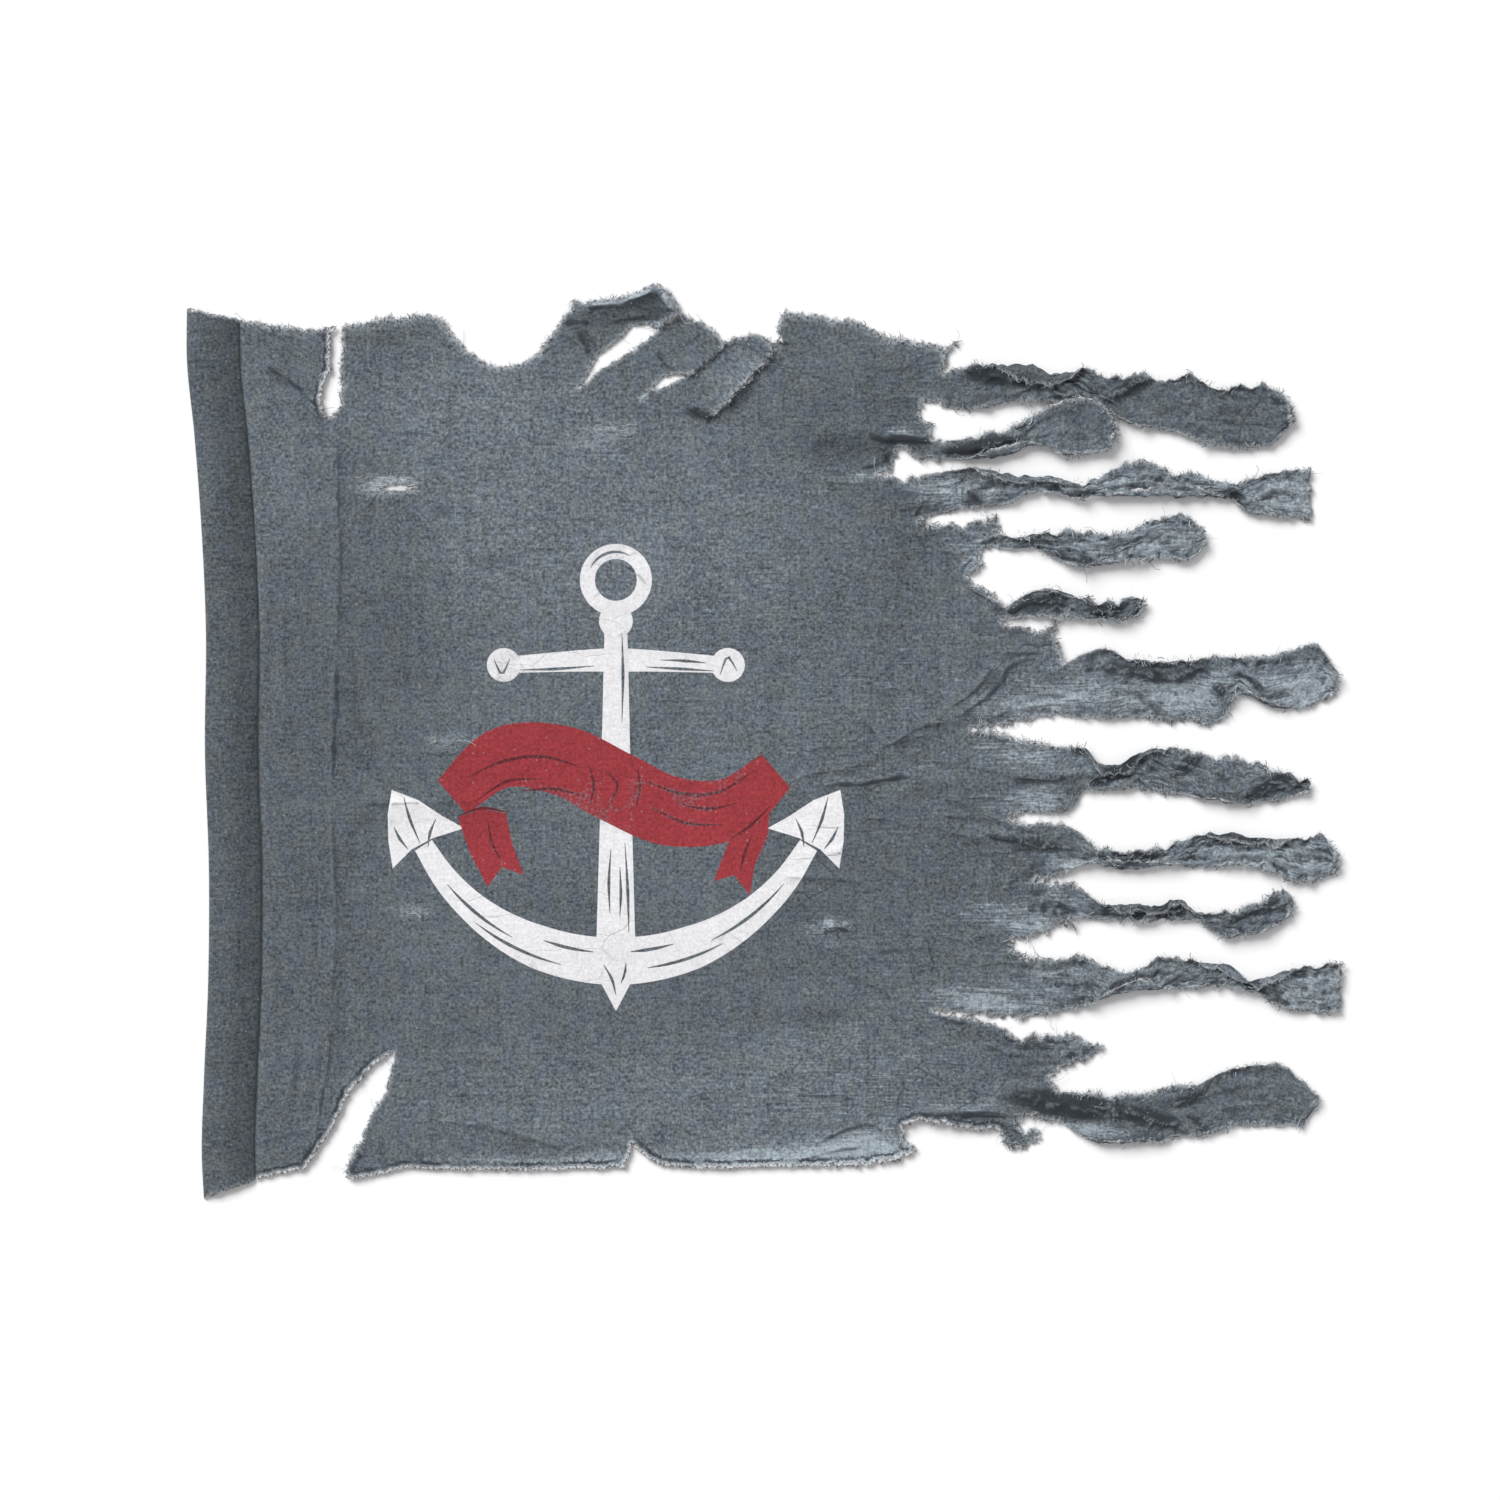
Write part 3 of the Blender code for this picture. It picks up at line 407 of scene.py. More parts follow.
# How crumpled the ribbons are: down, share
crumpleRows = [
    (60, 0.5), (110, 0.5), (150, 0.6), (190, 1.0), (240, 1.1), (310, 1.2), (355, 0.7), (400, 0.5),
    (470, 0.35), (555, 1.0), (610, 1.1), (690, 1.0), (760, 0.6), (820, 0.4),
]

# Where the curled rim of a torn edge runs: across, down
curledRims = [
    [
        (54, 875), (78, 868), (94, 865), (102, 861), (114, 842), (131, 818), (144, 788), (163, 763),
        (175, 757),
    ],
    [(150, 878), (195, 870), (250, 870), (330, 870), (422, 868)],
    [(436, 853), (460, 865), (500, 868), (600, 867), (660, 866), (706, 857)],
    [(706, 822), (744, 823), (793, 828)],
    [(134, 32), (131, 44), (131, 60), (129, 76), (124, 90), (121, 104)],
]

# Bleached and dirty places, and painted shade in folds and beside laps: positive is paler
patches = [Patch(*row) for row in [
    (330, 200, 420, 190, 5, 0.20), (470, 420, 300, 240, 0, 0.10), (420, 800, 330, 90, 0, 0.17),
    (250, 100, 190, 70, 0, 0.10), (90, 150, 90, 90, 0, 0.05), (160, 300, 90, 300, 0, -0.16),
    (80, 560, 60, 300, 0, -0.10), (660, 120, 120, 60, 0, -0.12), (700, 250, 130, 90, 0, -0.08),
    (650, 560, 150, 100, 0, -0.12), (620, 860, 130, 20, -1, 0.75), (520, 862, 200, 15, 0, 0.35),
    (665, 846, 60, 22, -6, 0.8), (400, 862, 80, 13, 0, 0.35), (770, 812, 80, 16, 2, 0.35),
    (812, 405, 76, 18, -4, 0.45), (820, 452, 60, 20, 4, 0.35), (830, 500, 50, 16, 0, 0.40),
    (800, 614, 52, 18, 2, 0.45), (862, 600, 34, 14, 10, 0.35), (790, 700, 80, 16, 6, 0.70),
    (840, 684, 60, 20, 3, 0.10), (748, 196, 46, 20, 2, 0.30), (770, 240, 44, 22, 8, 0.30),
    (868, 740, 50, 22, 6, 0.30), (392, 144, 36, 7, 0, 0.25), (252, 443, 34, 8, 0, 0.45),
    (214, 612, 24, 9, 0, 0.45), (616, 630, 26, 9, 0, 0.45), (428, 10, 52, 20, -14, -0.30),
    (406, 4, 22, 3.5, -6, 1.5), (439, -5, 20, 4, -24, 1.5), (465, -3, 18, 4, 60, 1.2),
    (460, 19, 24, 3, -22, 1.0), (445, 98, 9, 3, -45, 1.2), (300, 861, 90, 6, 0, 0.5),
    (545, 70, 40, 26, -40, 0.3), (640, 146, 60, 18, 0, -0.25), (960, 390, 180, 30, 0, 0.30),
    (985, 402, 100, 22, 0, 0.45), (1110, 390, 60, 40, 0, 0.70), (960, 118, 300, 60, 8, -0.15),
    (1000, 800, 240, 60, 0, -0.10), (1100, 200, 60, 40, 0, 0.62), (1114, 690, 50, 40, 0, 0.48),
    (1090, 560, 90, 40, 0, 0.42), (960, 245, 90, 40, 0, 0.25), (876, 829, 64, 9, 4, 0.85),
    (1040, 474, 150, 32, 0, 0.02), (908, 808, 6, 15, 10, 1.6), (950, 192, 220, 28, 0, 0.52),
    (900, 248, 130, 26, 0, 0.32), (1010, 560, 160, 28, 0, 0.34), (990, 686, 200, 32, 0, 0.40),
    (980, 470, 180, 30, 0, 0.16), (850, 145, 90, 34, 0, 0.18), (1000, 380, 190, 34, 0, 0.18),
    (640, 770, 150, 80, 0, 0.14), (1000, 118, 140, 40, 0, 0.12), (950, 240, 70, 26, 0, 0.25),
    (862, 394, 56, 22, 0, 0.30), (876, 563, 36, 8, 0, 1.2), (760, 190, 60, 24, 0, 0.25),
    (580, 850, 150, 30, 0, 0.12), (1000, 800, 160, 50, 0, 0.12), (1082, 95, 13, 8, 20, 0.6),
    (658, 177, 26, 6, 0, 0.6), (701, 132, 22, 4, 4, 0.9), (835, 408, 44, 12, 2, 0.45),
    (834, 455, 36, 9, 0, 0.22), (832, 496, 36, 15, 4, 0.26), (834, 626, 32, 10, 0, 0.8),
    (772, 262, 20, 10, -40, 0.6), (780, 704, 52, 9, -4, 0.30), (186, 186, 36, 13, -4, 0.9),
    (412, 131, 34, 9, 0, 0.5), (634, 623, 22, 6, 0, 0.9), (634, 645, 26, 6, 0, 0.25),
    (615, 713, 60, 14, -5, -0.28), (153, 400, 70, 5, 90, -0.12), (155, 455, 24, 5, 90, -0.18),
    (160, 300, 60, 4, 90, -0.08), (96, 780, 60, 5, 100, -0.25), (110, 800, 50, 5, 108, -0.25),
    # Painted shade inside the folds and painted shadow beside the laps
    (541, 101, 30, 8, -42, -0.5), (503, 115, 20, 6, 14, -0.8), (569, 56, 12, 4, -66, -0.9),
    (110, 854, 9, 7, -50, -1.0), (144, 797, 9, 6, -55, -1.0), (163, 775, 6, 5, -40, -0.9),
    (160, 858, 5, 4, 0, -1.0), (242, 213, 10, 5, 0, -0.6), (84, 80, 22, 7, 38, -0.35),
    (384, 38, 15, 7, 50, -0.6), (404, 6, 18, 3, -8, -1.0), (452, 0, 14, 9, -30, -0.5),
    (800, 79, 46, 9, 4, -1.2), (934, 88, 26, 8, -28, -1.1), (783, 145, 46, 9, -10, -1.1),
    (710, 141, 34, 5, 2, -1.2), (694, 158, 18, 7, 0, -1.0), (1034, 202, 17, 9, 50, -1.0),
    (880, 196, 18, 6, 0, -1.0), (774, 200, 13, 13, 0, -0.9), (838, 304, 36, 11, -8, -0.9),
    (904, 310, 24, 7, 0, -1.0), (953, 372, 58, 9, 8, -0.7), (1022, 400, 13, 15, 60, -0.6),
    (850, 478, 46, 5, -2, -1.0), (912, 470, 34, 8, -34, -1.4), (986, 463, 22, 5, -42, -1.5),
    (1064, 487, 30, 5, -30, -1.8), (836, 543, 54, 5, 8, -0.9), (926, 556, 34, 7, 0, -1.2),
    (1045, 541, 38, 5, 2, -0.8), (968, 610, 17, 9, 0, -1.2), (926, 612, 28, 6, 0, -1.0),
    (1070, 606, 17, 9, -50, -0.7), (1047, 684, 13, 7, 20, -1.0), (1070, 696, 13, 13, 50, -0.9),
    (866, 804, 66, 15, 8, -2.2), (935, 814, 46, 9, 10, -1.7), (985, 800, 30, 6, -16, -0.6),
    (760, 815, 60, 5, 1, -1.0), (34, 22, 4, 8, 0, -1.2), (440, 2, 24, 6, -24, -0.5),
    (300, 262, 30, 3, 0, -0.3), (554, 72, 16, 8, -48, -0.5), (500, 112, 16, 5, 8, -0.7),
]]


def smooth(t):
    t = np.clip(t, 0.0, 1.0)
    return t * t * (3 - 2 * t)


def flow(at, rows):
    # A smooth line through a table of two columns
    xs, ys = np.array(rows, float).T
    slopes = np.gradient(ys, xs)
    i = np.clip(np.searchsorted(xs, at) - 1, 0, len(xs) - 2)
    span = xs[i + 1] - xs[i]
    t = (at - xs[i]) / span
    start = (1 + 2 * t) * (1 - t) ** 2 * ys[i] + t * (1 - t) ** 2 * span * slopes[i]
    end = t * t * (3 - 2 * t) * ys[i + 1] - t * t * (1 - t) * span * slopes[i + 1]
    return start + end


def smoothPath(places, pitch):
    # Points about a pitch apart on a smooth line through the places
    places = np.array(places, float)
    along = np.concatenate([[0], np.cumsum(np.hypot(*np.diff(places, axis=0).T))])
    at = np.linspace(0, along[-1], max(2, round(along[-1] / pitch) + 1))
    return np.column_stack([flow(at, np.column_stack([along, column])) for column in places.T])


def grain(x, y, size, seed):
    # Smooth noise from -1 to 1, with features about a size across
    cells = 64
    table = np.random.default_rng(seed).uniform(-1, 1, (cells, cells))
    i, j = np.floor(x / size).astype(int), np.floor(y / size).astype(int)
    u, v = smooth(x / size - i), smooth(y / size - j)
    low = table[i % cells, j % cells] * (1 - u) + table[(i + 1) % cells, j % cells] * u
    high = table[i % cells, (j + 1) % cells] * (1 - u) + table[(i + 1) % cells, (j + 1) % cells] * u
    return low * (1 - v) + high * v


def toWorld(points):
    return (np.asarray(points, float) - (*cutMiddle, 0.0)) * (millimetre, -millimetre, millimetre)


def placed(name, data):
    made = bpy.data.objects.new(name, data)
    bpy.context.scene.collection.objects.link(made)
    return made


def storeField(mesh, name, values, domain="POINT"):
    attribute = mesh.attributes.new(name, "FLOAT", domain)
    attribute.data.foreach_set("value", np.asarray(values, np.float32))


def treeOf(points):
    tree = KDTree(len(points))
    for i, (x, y) in enumerate(points):
        tree.insert((x, y, 0), i)
    tree.balance()
    return tree


def awayFrom(tree, points):
    # Distance and index of the nearest point in the tree, for each point
    found = [tree.find((x, y, 0)) for x, y in points]
    return np.array([hit[2] for hit in found]), np.array([hit[1] for hit in found])


def dense(loop, step, closed=True):
    # The line again with points no further apart than the step
    loop = np.array(loop, float)
    ends = np.roll(loop, -1, axis=0) if closed else loop[1:]
    points = []
    for a, b in zip(loop, ends):
        count = max(1, math.ceil(np.hypot(*(b - a)) / step))
        points += [a + (b - a) * k / count for k in range(count)]
    if not closed:
        points.append(loop[-1])
    return np.array(points)


# The sheet: heights, torn edges and ribbons

sheet = {
    "thickness": 0.5,
    "rest": 0.25,  # its under side above the floor
    "coarsePitch": 9.4,
    "middlePitch": 4.8,
    "finePitch": 2.5,
    "edgePitch": 2.1,
    "rimPitch": 1.5,
    "fineReach": 5.0,
    "middleReach": 15.0,
    "creaseReach": 7.5,
    "flyReach": 34.0,
    "creaseGap": 1.2,
    "ragWide": 1.5,
    "ragFine": 1.3,
    "wobble": 1.1,
    "crinkle": 0.9,
    "crumple": 2.0,
    "softTop": 8.0,  # heights above this are pressed down by the share below
    "softShare": 0.6,
    "rimHeight": 0.9,
    "beadHeight": 3.0,
    "beadReach": 12,
    "beadWidth": 8,
    "lipWidth": 7,
    "ribbonPitch": 3.1,
    "ribbonLines": 20,
    "rollHeight": 5.5,
    "rollReach": math.radians(300),
    "mostTurn": 200,
    "easeLength": 40.0,
    "pleatDepth": 2.5,
    "pleats": 8.0,
    "tearWide": 2.6,
    "tearFine": 2.0,
    "uneven": 0.75,
    "unevenWide": 1.7,
    "unevenFine": 1.1,
    "arch": 2.4,
    "tail": 2.6,
    "tailReach": 8,
    "sleeveWidth": 53.0,
    "seamGap": 0.3,
}


curledTree = treeOf(np.concatenate([smoothPath(run, 3.0) for run in curledRims]))


def alongLine(points, row):
    start = np.array([row.across0, row.down0], float)
    line = np.array([row.across1, row.down1], float) - start
    offset = points - start
    t = offset @ line / (line @ line)
    nearest = np.clip(t, 0, 1)[:, None] * line
    side = offset[:, 0] * line[1] - offset[:, 1] * line[0]
    return t, np.hypot(*(offset - nearest).T), side


def ridgeHeight(points):
    height = np.zeros(len(points))
    for ridge in ridges:
        away = alongLine(points, ridge)[1]
        height = np.maximum(height, ridge.height * smooth(1 - away / ridge.width))
    return height


def lapped(points):
    # Shift and lift of the torn edges that lie over their neighbours
    move = np.zeros((len(points), 3))
    for lap in laps:
        t, away, side = alongLine(points, lap)
        weight = smooth(1 - away / lap.reach) * smooth(2.6 * t) * (side > 0) * (t < 1.04)
        move += weight[:, None] * np.array([lap.moveAcross, lap.moveDown, lap.lift])
    return move


crumpling = {
    "warp": 9,
    "swell": 0.5,
    "smallSwell": 0.3,
    "slanting": 0.8,  # height of the slanting folds on the ribbons
    "small": 0.5,
    "ribbonsFrom": 800,
    "ribbonsOver": 60,
    "flyFrom": 610,
    "flyOver": 170,
    "rimReach": 40,
}


def crinkled(points, rim):
    # Soft crumpling all over the sheet, and sharper folds along the ribbons and their roots
    c = crumpling
    x, y = points.T
    warp = grain(x, y, 60, 3) * c["warp"]
    high = c["swell"] * np.abs(grain(x + warp, y, 34, 5))
    high = high + c["smallSwell"] * np.abs(grain(x, y + warp, 17, 6))
    folds = (1 - np.abs(grain(x * 0.22 + warp, y + 0.3 * warp, 9, 7))) ** 2
    strip = smooth((x - c["ribbonsFrom"]) / c["ribbonsOver"])
    slanting = grain(x * 0.9 + 0.8 * y, x * 0.5 - 0.8 * y + warp, 14, 8)
    folds += c["slanting"] * strip * (1 - np.abs(slanting)) ** 3
    folds += c["small"] * strip * np.abs(grain(x, y + warp, 6, 9))
    fly = smooth((x - c["flyFrom"]) / c["flyOver"]) * smooth(1.5 - rim / c["rimReach"])
    share = np.interp(y, *np.array(crumpleRows).T)
    return sheet["crinkle"] * high + sheet["crumple"] * share * fly * folds


creasing = {
    "steepSide": 0.55,  # share of the half width on the lee side
    "gentleSide": 1.3,
    "reach": 2.2,
    "leastReach": 6.0,
    "farthest": 20.0,
    "flyFrom": (840, 890),  # strokes widen across this stretch
    "flyWider": (1.0, 1.75),
    "faintest": 0.2,
}


def creaseFields(points):
    # Height added by the creases, distance to the nearest over the width of its painted shade, and how dark
    # that shade is
    lines = [smoothPath(crease.places, 0.5) for crease in creases]
    for line in lines:
        x, y = line.T.copy()
        line += np.column_stack([grain(x, y, 7, 31), grain(x, y, 7, 32)]) * sheet["wobble"]
    c = creasing
    height, away, shade = np.zeros(len(points)), np.full(len(points), c["farthest"]), np.zeros(len(points))
    for crease, line in zip(creases, lines):
        reach = max(c["reach"] * crease.width, c["leastReach"])
        low, high = line.min(axis=0) - reach, line.max(axis=0) + reach
        near = np.flatnonzero(((points > low) & (points < high)).all(axis=1))
        if not len(near):
            continue
        gap, hit = awayFrom(treeOf(line), points[near])
        ahead = np.gradient(line, axis=0)[hit]
        offset = points[near] - line[hit]
        lee = offset[:, 1] * ahead[:, 0] - offset[:, 0] * ahead[:, 1] > 0
        share = hit / (len(line) - 1)
        taper = smooth(6 * share) * smooth(6 * (1 - share))
        half = np.where(lee, c["steepSide"] * crease.width, c["gentleSide"] * crease.width)
        slope = np.clip(1 - gap / half, 0, 1)
        rise = crease.height * taper * (0.5 * slope + 0.5 * smooth(slope))
        height[near] = np.maximum(height[near], rise)
        thick = np.maximum(taper, c["faintest"]) * (1 + 0.6 * grain(*line.T, 9, 33)[hit])
        thick *= np.interp(points[near, 0], c["flyFrom"], c["flyWider"])
        part = gap / crease.soil / thick
        nearer = part < away[near]
        away[near[nearer]] = part[nearer]
        # Strength of the painted shade along the crease, weaker towards its ends
        paintedShade = crease.shade * min(1.55, 0.75 + 0.36 * crease.height)
        shade[near[nearer]] = paintedShade * (0.2 + 0.8 * taper[nearer])
    return height, away, shade


def tornLine(points, seed, pitch):
    # The torn line with points a pitch apart, each pulled a little in or out
    line = dense(points, pitch, closed=False)
    ahead = np.gradient(line, axis=0)
    out = np.column_stack([ahead[:, 1], -ahead[:, 0]]) / np.maximum(np.hypot(*ahead.T), 1e-6)[:, None]
    x, y = line.T
    rough = 1 + 1.3 * smooth((x - 590) / 80)
    curled = smooth(2 - awayFrom(curledTree, line)[0] / 6)
    pull = sheet["ragWide"] * (1 - 0.5 * curled) * grain(x, y, 8, seed)
    pull = (pull + sheet["ragFine"] * (1 + 0.1 * curled) * grain(x, y, 2.6, seed + 1)) * rough
    pull *= 1 - 0.5 * smooth(2 - np.hypot(x - 425, y - 55) / 30)
    pull[0] = pull[-1] = 0.0
    return line + out * pull[:, None]


def rollCurve(turn, v):
    # Cross-section of unit width whose far end rolls over by the given turn
    straight = 1 - turn / sheet["rollReach"]
    bend = np.clip(v - straight, 0, None) * sheet["rollReach"]
    return np.minimum(v, straight) + np.sin(bend) / sheet["rollReach"], (1 - np.cos(bend)) / 2


def turnFor(ratio):
    # The turn at which a rolled section looks this much narrower than its cloth
    turns = np.radians(np.arange(0, sheet["mostTurn"] + 1, 5))
    fine = np.linspace(0, 1, 200)
    seen = [np.ptp(rollCurve(turn, fine)[0]) for turn in turns]
    return np.interp(-ratio, -np.array(seen), turns)


def ribbonGrid(ribbon, number):
    # Points of one ribbon as columns across it, with the flat place and edge distance of each
    s = sheet
    stations = [(*row, 0.0)[:5] for row in ribbon.stations]
    across, tops, bottoms, edges, lifts = np.array(stations, float).T
    first, last = across[0], across[-1]
    xs = np.linspace(first, last, math.ceil((last - first) / s["ribbonPitch"]) + 1)
    v = np.linspace(0, 1, s["ribbonLines"] + 1)
    top = flow(xs, np.column_stack([across, tops]))
    bottom = flow(xs, np.column_stack([across, bottoms]))
    edge = np.interp(xs, across, edges)
    lift = np.interp(xs, across, lifts)
    ease = smooth((xs - first) / s["easeLength"])
    ratio = 1 - ease * (1 - np.minimum(1, (bottom - top) / ribbon.cloth))
    turn = turnFor(ratio) * edge
    for _ in range(60):
        turn[1:-1] = (turn[:-2] + 2 * turn[1:-1] + turn[2:]) / 4
    columns = []
    for i, x in enumerate(xs):
        place, height = rollCurve(abs(turn[i]), v)
        place = (place - place.min()) / np.ptp(place)
        span = bottom[i] - top[i]
        down = bottom[i] - span * place if turn[i] > 0 else top[i] + span * place
        if turn[i] <= 0:
            down, height = down[::-1], height[::-1]
        flatDown = (top[i] + bottom[i]) / 2 + (0.5 - v) * (span + ease[i] * (ribbon.cloth - span))
        rim = np.minimum(v, 1 - v) * ribbon.cloth
        end = (last - x) + 4 * grain(flatDown, flatDown * 0 + number, 7, 40)
        # Gathers where the ribbon is squeezed, and torn edges
        gather = s["pleatDepth"] * ease[i] * (0.2 + 1.8 * (1 - ratio[i]))
        pleat = (1 - np.abs(grain(v * s["pleats"] + 9 * number, v * 0 + x / 20, 1.0, 50 + number))) ** 2
        height = height * s["rollHeight"] + gather * pleat + lift[i]
        side = np.where(v < 0.5, 1.0, -1.0) * smooth(1 - rim / 8)
        lower = v < 0.5
        rag = s["tearWide"] * grain(x, lower * 20.0 + 60 * number, 9, 80)
        rag = rag + s["tearFine"] * grain(x, lower * 30.0 + 60 * number, 3.4, 81)
        down = down + side * rag * np.where(lower, *ribbonRags[number]) * ease[i]
        cloth = v * ribbon.cloth + 90 * number
        crumple = s["unevenWide"] * grain(cloth, v * 0 + x, 8, 84)
        crumple = crumple + s["unevenFine"] * grain(cloth, v * 0 + x, 3.6, 85)
        down = down + s["uneven"] * (1 + 0.8 * smooth(2 * (1 - ratio[i]))) * crumple * ease[i]
        arch = max(0.0, float(grain(np.array(x), np.array(90.0 * number), 46, 86)) + 0.45)
        height = height + ease[i] * (s["arch"] * arch + 0.9 * smooth((v - 0.1) * 1.5))
        tail = smooth(1 - (last - x) / s["tailReach"]) * s["tail"]
        tail = tail * grain(v * ribbon.cloth, v * 0 + number, 4, 90)
        nearest = np.minimum(rim, np.abs(end))
        columns.append(np.column_stack([x + tail, down, height, v * 0 + x, flatDown, nearest]))
    return columns


def inside(points, loops):
    hit = np.zeros(len(points), bool)
    for ring in loops:
        for (ax, ay), (bx, by) in zip(ring, np.roll(ring, -1, axis=0)):
            if ay == by:
                continue
            spans = (ay > points[:, 1]) != (by > points[:, 1])
            hit ^= spans & (points[:, 0] < ax + (points[:, 1] - ay) * (bx - ax) / (by - ay))
    return hit


def slitLoop(slit):
    angles = np.linspace(0, 2 * math.pi, 44, endpoint=False)
    along, wide = np.cos(angles) * slit.length / 2, np.sin(angles) ** 3 * slit.width / 2
    wide = wide + 0.8 * grain(along, wide, 2.5, 33) * np.abs(np.sin(angles))
    turn = math.radians(slit.tilt)
    across = slit.across + along * math.cos(turn) - wide * math.sin(turn)
    down = slit.down + along * math.sin(turn) + wide * math.cos(turn)
    return np.column_stack([across, down])


def seam(down):
    return flow(down, sleeveRows) + sheet["sleeveWidth"] + sheet["seamGap"]


def sheetOutline(grids):
    # The sheet's outline with each ribbon cut off at its root, and the torn lines that it is made of
    top = (float(seam(sleeveTop[1])), sleeveTop[1])
    bottom = (float(seam(sleeveFoot[1])), sleeveFoot[1])
    line = [top, *topLeft, *topSlit, *topBite, *upperTongue, *upperTear, *middleTongue]
    line += [*middleTear, *lowerTongue, *lowerTear, *topRight]
    loop, torn = [], []
    for number, (columns, gap) in enumerate(zip(grids, gapsBelow)):
        root = columns[0][::-1, :2]
        run = tornLine([*line, root[0]], 100 + 2 * number, sheet["edgePitch"])
        torn.append(run)
        loop += [*run[:-1], *root[:-1]]
        line = [root[-1], *gap]
    run = tornLine([*line, *foot, *footNotch, *footLeft, bottom], 140, sheet["rimPitch"])
    torn.append(run)
    loop += [*run]
    for down in np.linspace(sleeveFoot[1], sleeveTop[1], 220)[1:-1]:
        loop.append((float(seam(down)), down))
    return np.array(loop), torn


# The print: shapes inked in off-white and red, with fine lines left bare

printed = {
    "middle": (416.0, 483.0),
    "ringOuter": 36.0,
    "ringInner": 21.0,
    "ringDown": -203.0,
    "shankTop": -172.0,
    "shankFoot": 180.0,
    "stockDown": -118.0,
    "stockHalf": 112.0,
    "knob": 17.0,
    "armRadius": 218.0,
    "armMiddle": -40.0,
    "armAngle": 28.0,
    "lineHalf": 1.5,
}


def circle(across, down, radius, pitch=5.0):
    count = max(10, round(2 * math.pi * radius / pitch))
    angles = np.linspace(0, 2 * math.pi, count, endpoint=False)
    return np.column_stack([across + radius * np.cos(angles), down + radius * np.sin(angles)])


def band(places, halfWidths, pitch=6.0):
    # A strip along a smooth line, with a half width for each place
    places = np.array(places, float)
    along = np.concatenate([[0], np.cumsum(np.hypot(*np.diff(places, axis=0).T))])
    line = smoothPath(places, pitch)
    at = np.linspace(0, along[-1], len(line))
    halves = np.interp(np.linspace(0, 1, len(places)), np.linspace(0, 1, len(halfWidths)), halfWidths)
    half = np.interp(at, along, halves)
    ahead = np.gradient(line, axis=0)
    side = np.column_stack([-ahead[:, 1], ahead[:, 0]]) / np.hypot(*ahead.T)[:, None]
    return np.concatenate([line + side * half[:, None], (line - side * half[:, None])[::-1]])


def arcPlaces(radius, start, end, count=13):
    angles = np.radians(np.linspace(start, end, count))
    return np.column_stack([radius * np.cos(angles), printed["armMiddle"] + radius * np.sin(angles)])


def fluke(side):
    # The pointed palm at the end of one arm
    angle = math.radians(printed["armAngle"])
    end = np.array([math.cos(angle), math.sin(angle)]) * printed["armRadius"] + (0, printed["armMiddle"])
    ahead = np.array([math.sin(angle), -math.cos(angle)])
    out = np.array([math.cos(angle), math.sin(angle)])
    shape = [(64, 2), (44, 17), (20, 29), (-6, 38), (2, 12), (2, -12), (-4, -44), (18, -30), (42, -17)]
    return np.array([(end + ahead * a + out * o) * (side, 1) for a, o in shape])


def whiteShapes():
    p = printed
    stock, level = p["stockHalf"], p["stockDown"]
    bill = np.array([(-36, 168), (36, 168), (17, 196), (0, 228), (-17, 196)], float)
    arm = arcPlaces(p["armRadius"], p["armAngle"], 180 - p["armAngle"])
    return [
        circle(0, p["shankTop"] + 10, p["knob"]),
        band([(0, p["shankTop"]), (0, 0), (0, p["shankFoot"])], (11, 15, 20), 20),
        band([(-stock, level), (0, level - 5), (stock, level)], (8, 12, 8), 16),
        circle(-stock, level, p["knob"]),
        circle(stock, level, p["knob"]),
        band(arm, (10, 15, 22, 24, 22, 15, 10), 9),
        bill,
        fluke(1),
        fluke(-1),
    ]


def bareLines():
    # Thin lines in the white, where the cloth shows
    p = printed
    runs = [
        [(6, -150), (7, -110), (6, -60)],
        [(-5, 66), (-7, 100), (-6, 130)],
        [(9, 60), (12, 110), (13, 150)],
        [(4, 84), (5, 110), (4, 134)],
        [(-96, -113), (-60, -114), (-22, -117)],
        [(30, -116), (66, -114), (98, -112)],
        [(44, -123), (70, -122), (90, -120)],
        [(-122, -124), (-114, -109), (-106, -124)],
        [(104, -108), (112, -126), (121, -112)],
        arcPlaces(p["armRadius"] + 9, 62, 82, 5),
        arcPlaces(p["armRadius"] + 10, 104, 128, 6),
        arcPlaces(p["armRadius"] + 1, 40, 64, 6),
        arcPlaces(p["armRadius"] + 2, 118, 140, 6),
        arcPlaces(p["armRadius"] - 9, 74, 86, 4),
        arcPlaces(p["armRadius"] - 8, 96, 110, 4),
        [(-12, 182), (-4, 196), (0, 212)],
        [(10, 180), (9, 190), (5, 200)],
    ]
    for side in (-1, 1):
        runs.append([(side * 212, 14), (side * 206, 36), (side * 196, 60)])
        runs.append([(side * 180, 36), (side * 186, 50), (side * 188, 64)])
        runs.append([(side * 222, 44), (side * 216, 56), (side * 208, 66)])
    half = p["lineHalf"]
    lines = [band(run, (0.3, half, 1.2 * half, 0.3), 7) for run in runs]
    angles = np.radians(np.linspace(205, 300, 8))
    ringLine = np.column_stack([28 * np.cos(angles), p["ringDown"] + 28 * np.sin(angles)])
    return [*lines, band(ringLine, (0.3, half, half, 0.3), 6)]


def redShapes():
    run = [(-164, 14), (-112, -26), (-52, -22), (0, 4), (54, 28), (112, 26), (160, -12)]
    leftTail = [
        (-158, 34), (-134, 26), (-110, 30), (-104, 60), (-92, 92), (-114, 84), (-128, 104), (-146, 70),
    ]
    rightTail = [
        (114, 56), (134, 44), (154, 22), (152, 52), (138, 84), (134, 112), (118, 92), (98, 98),
        (106, 76),
    ]
    sash = band(run, (22, 31, 35, 36, 35, 31, 22), 12)
    return [sash, np.array(leftTail, float), np.array(rightTail, float), circle(-2, 2, 25)]


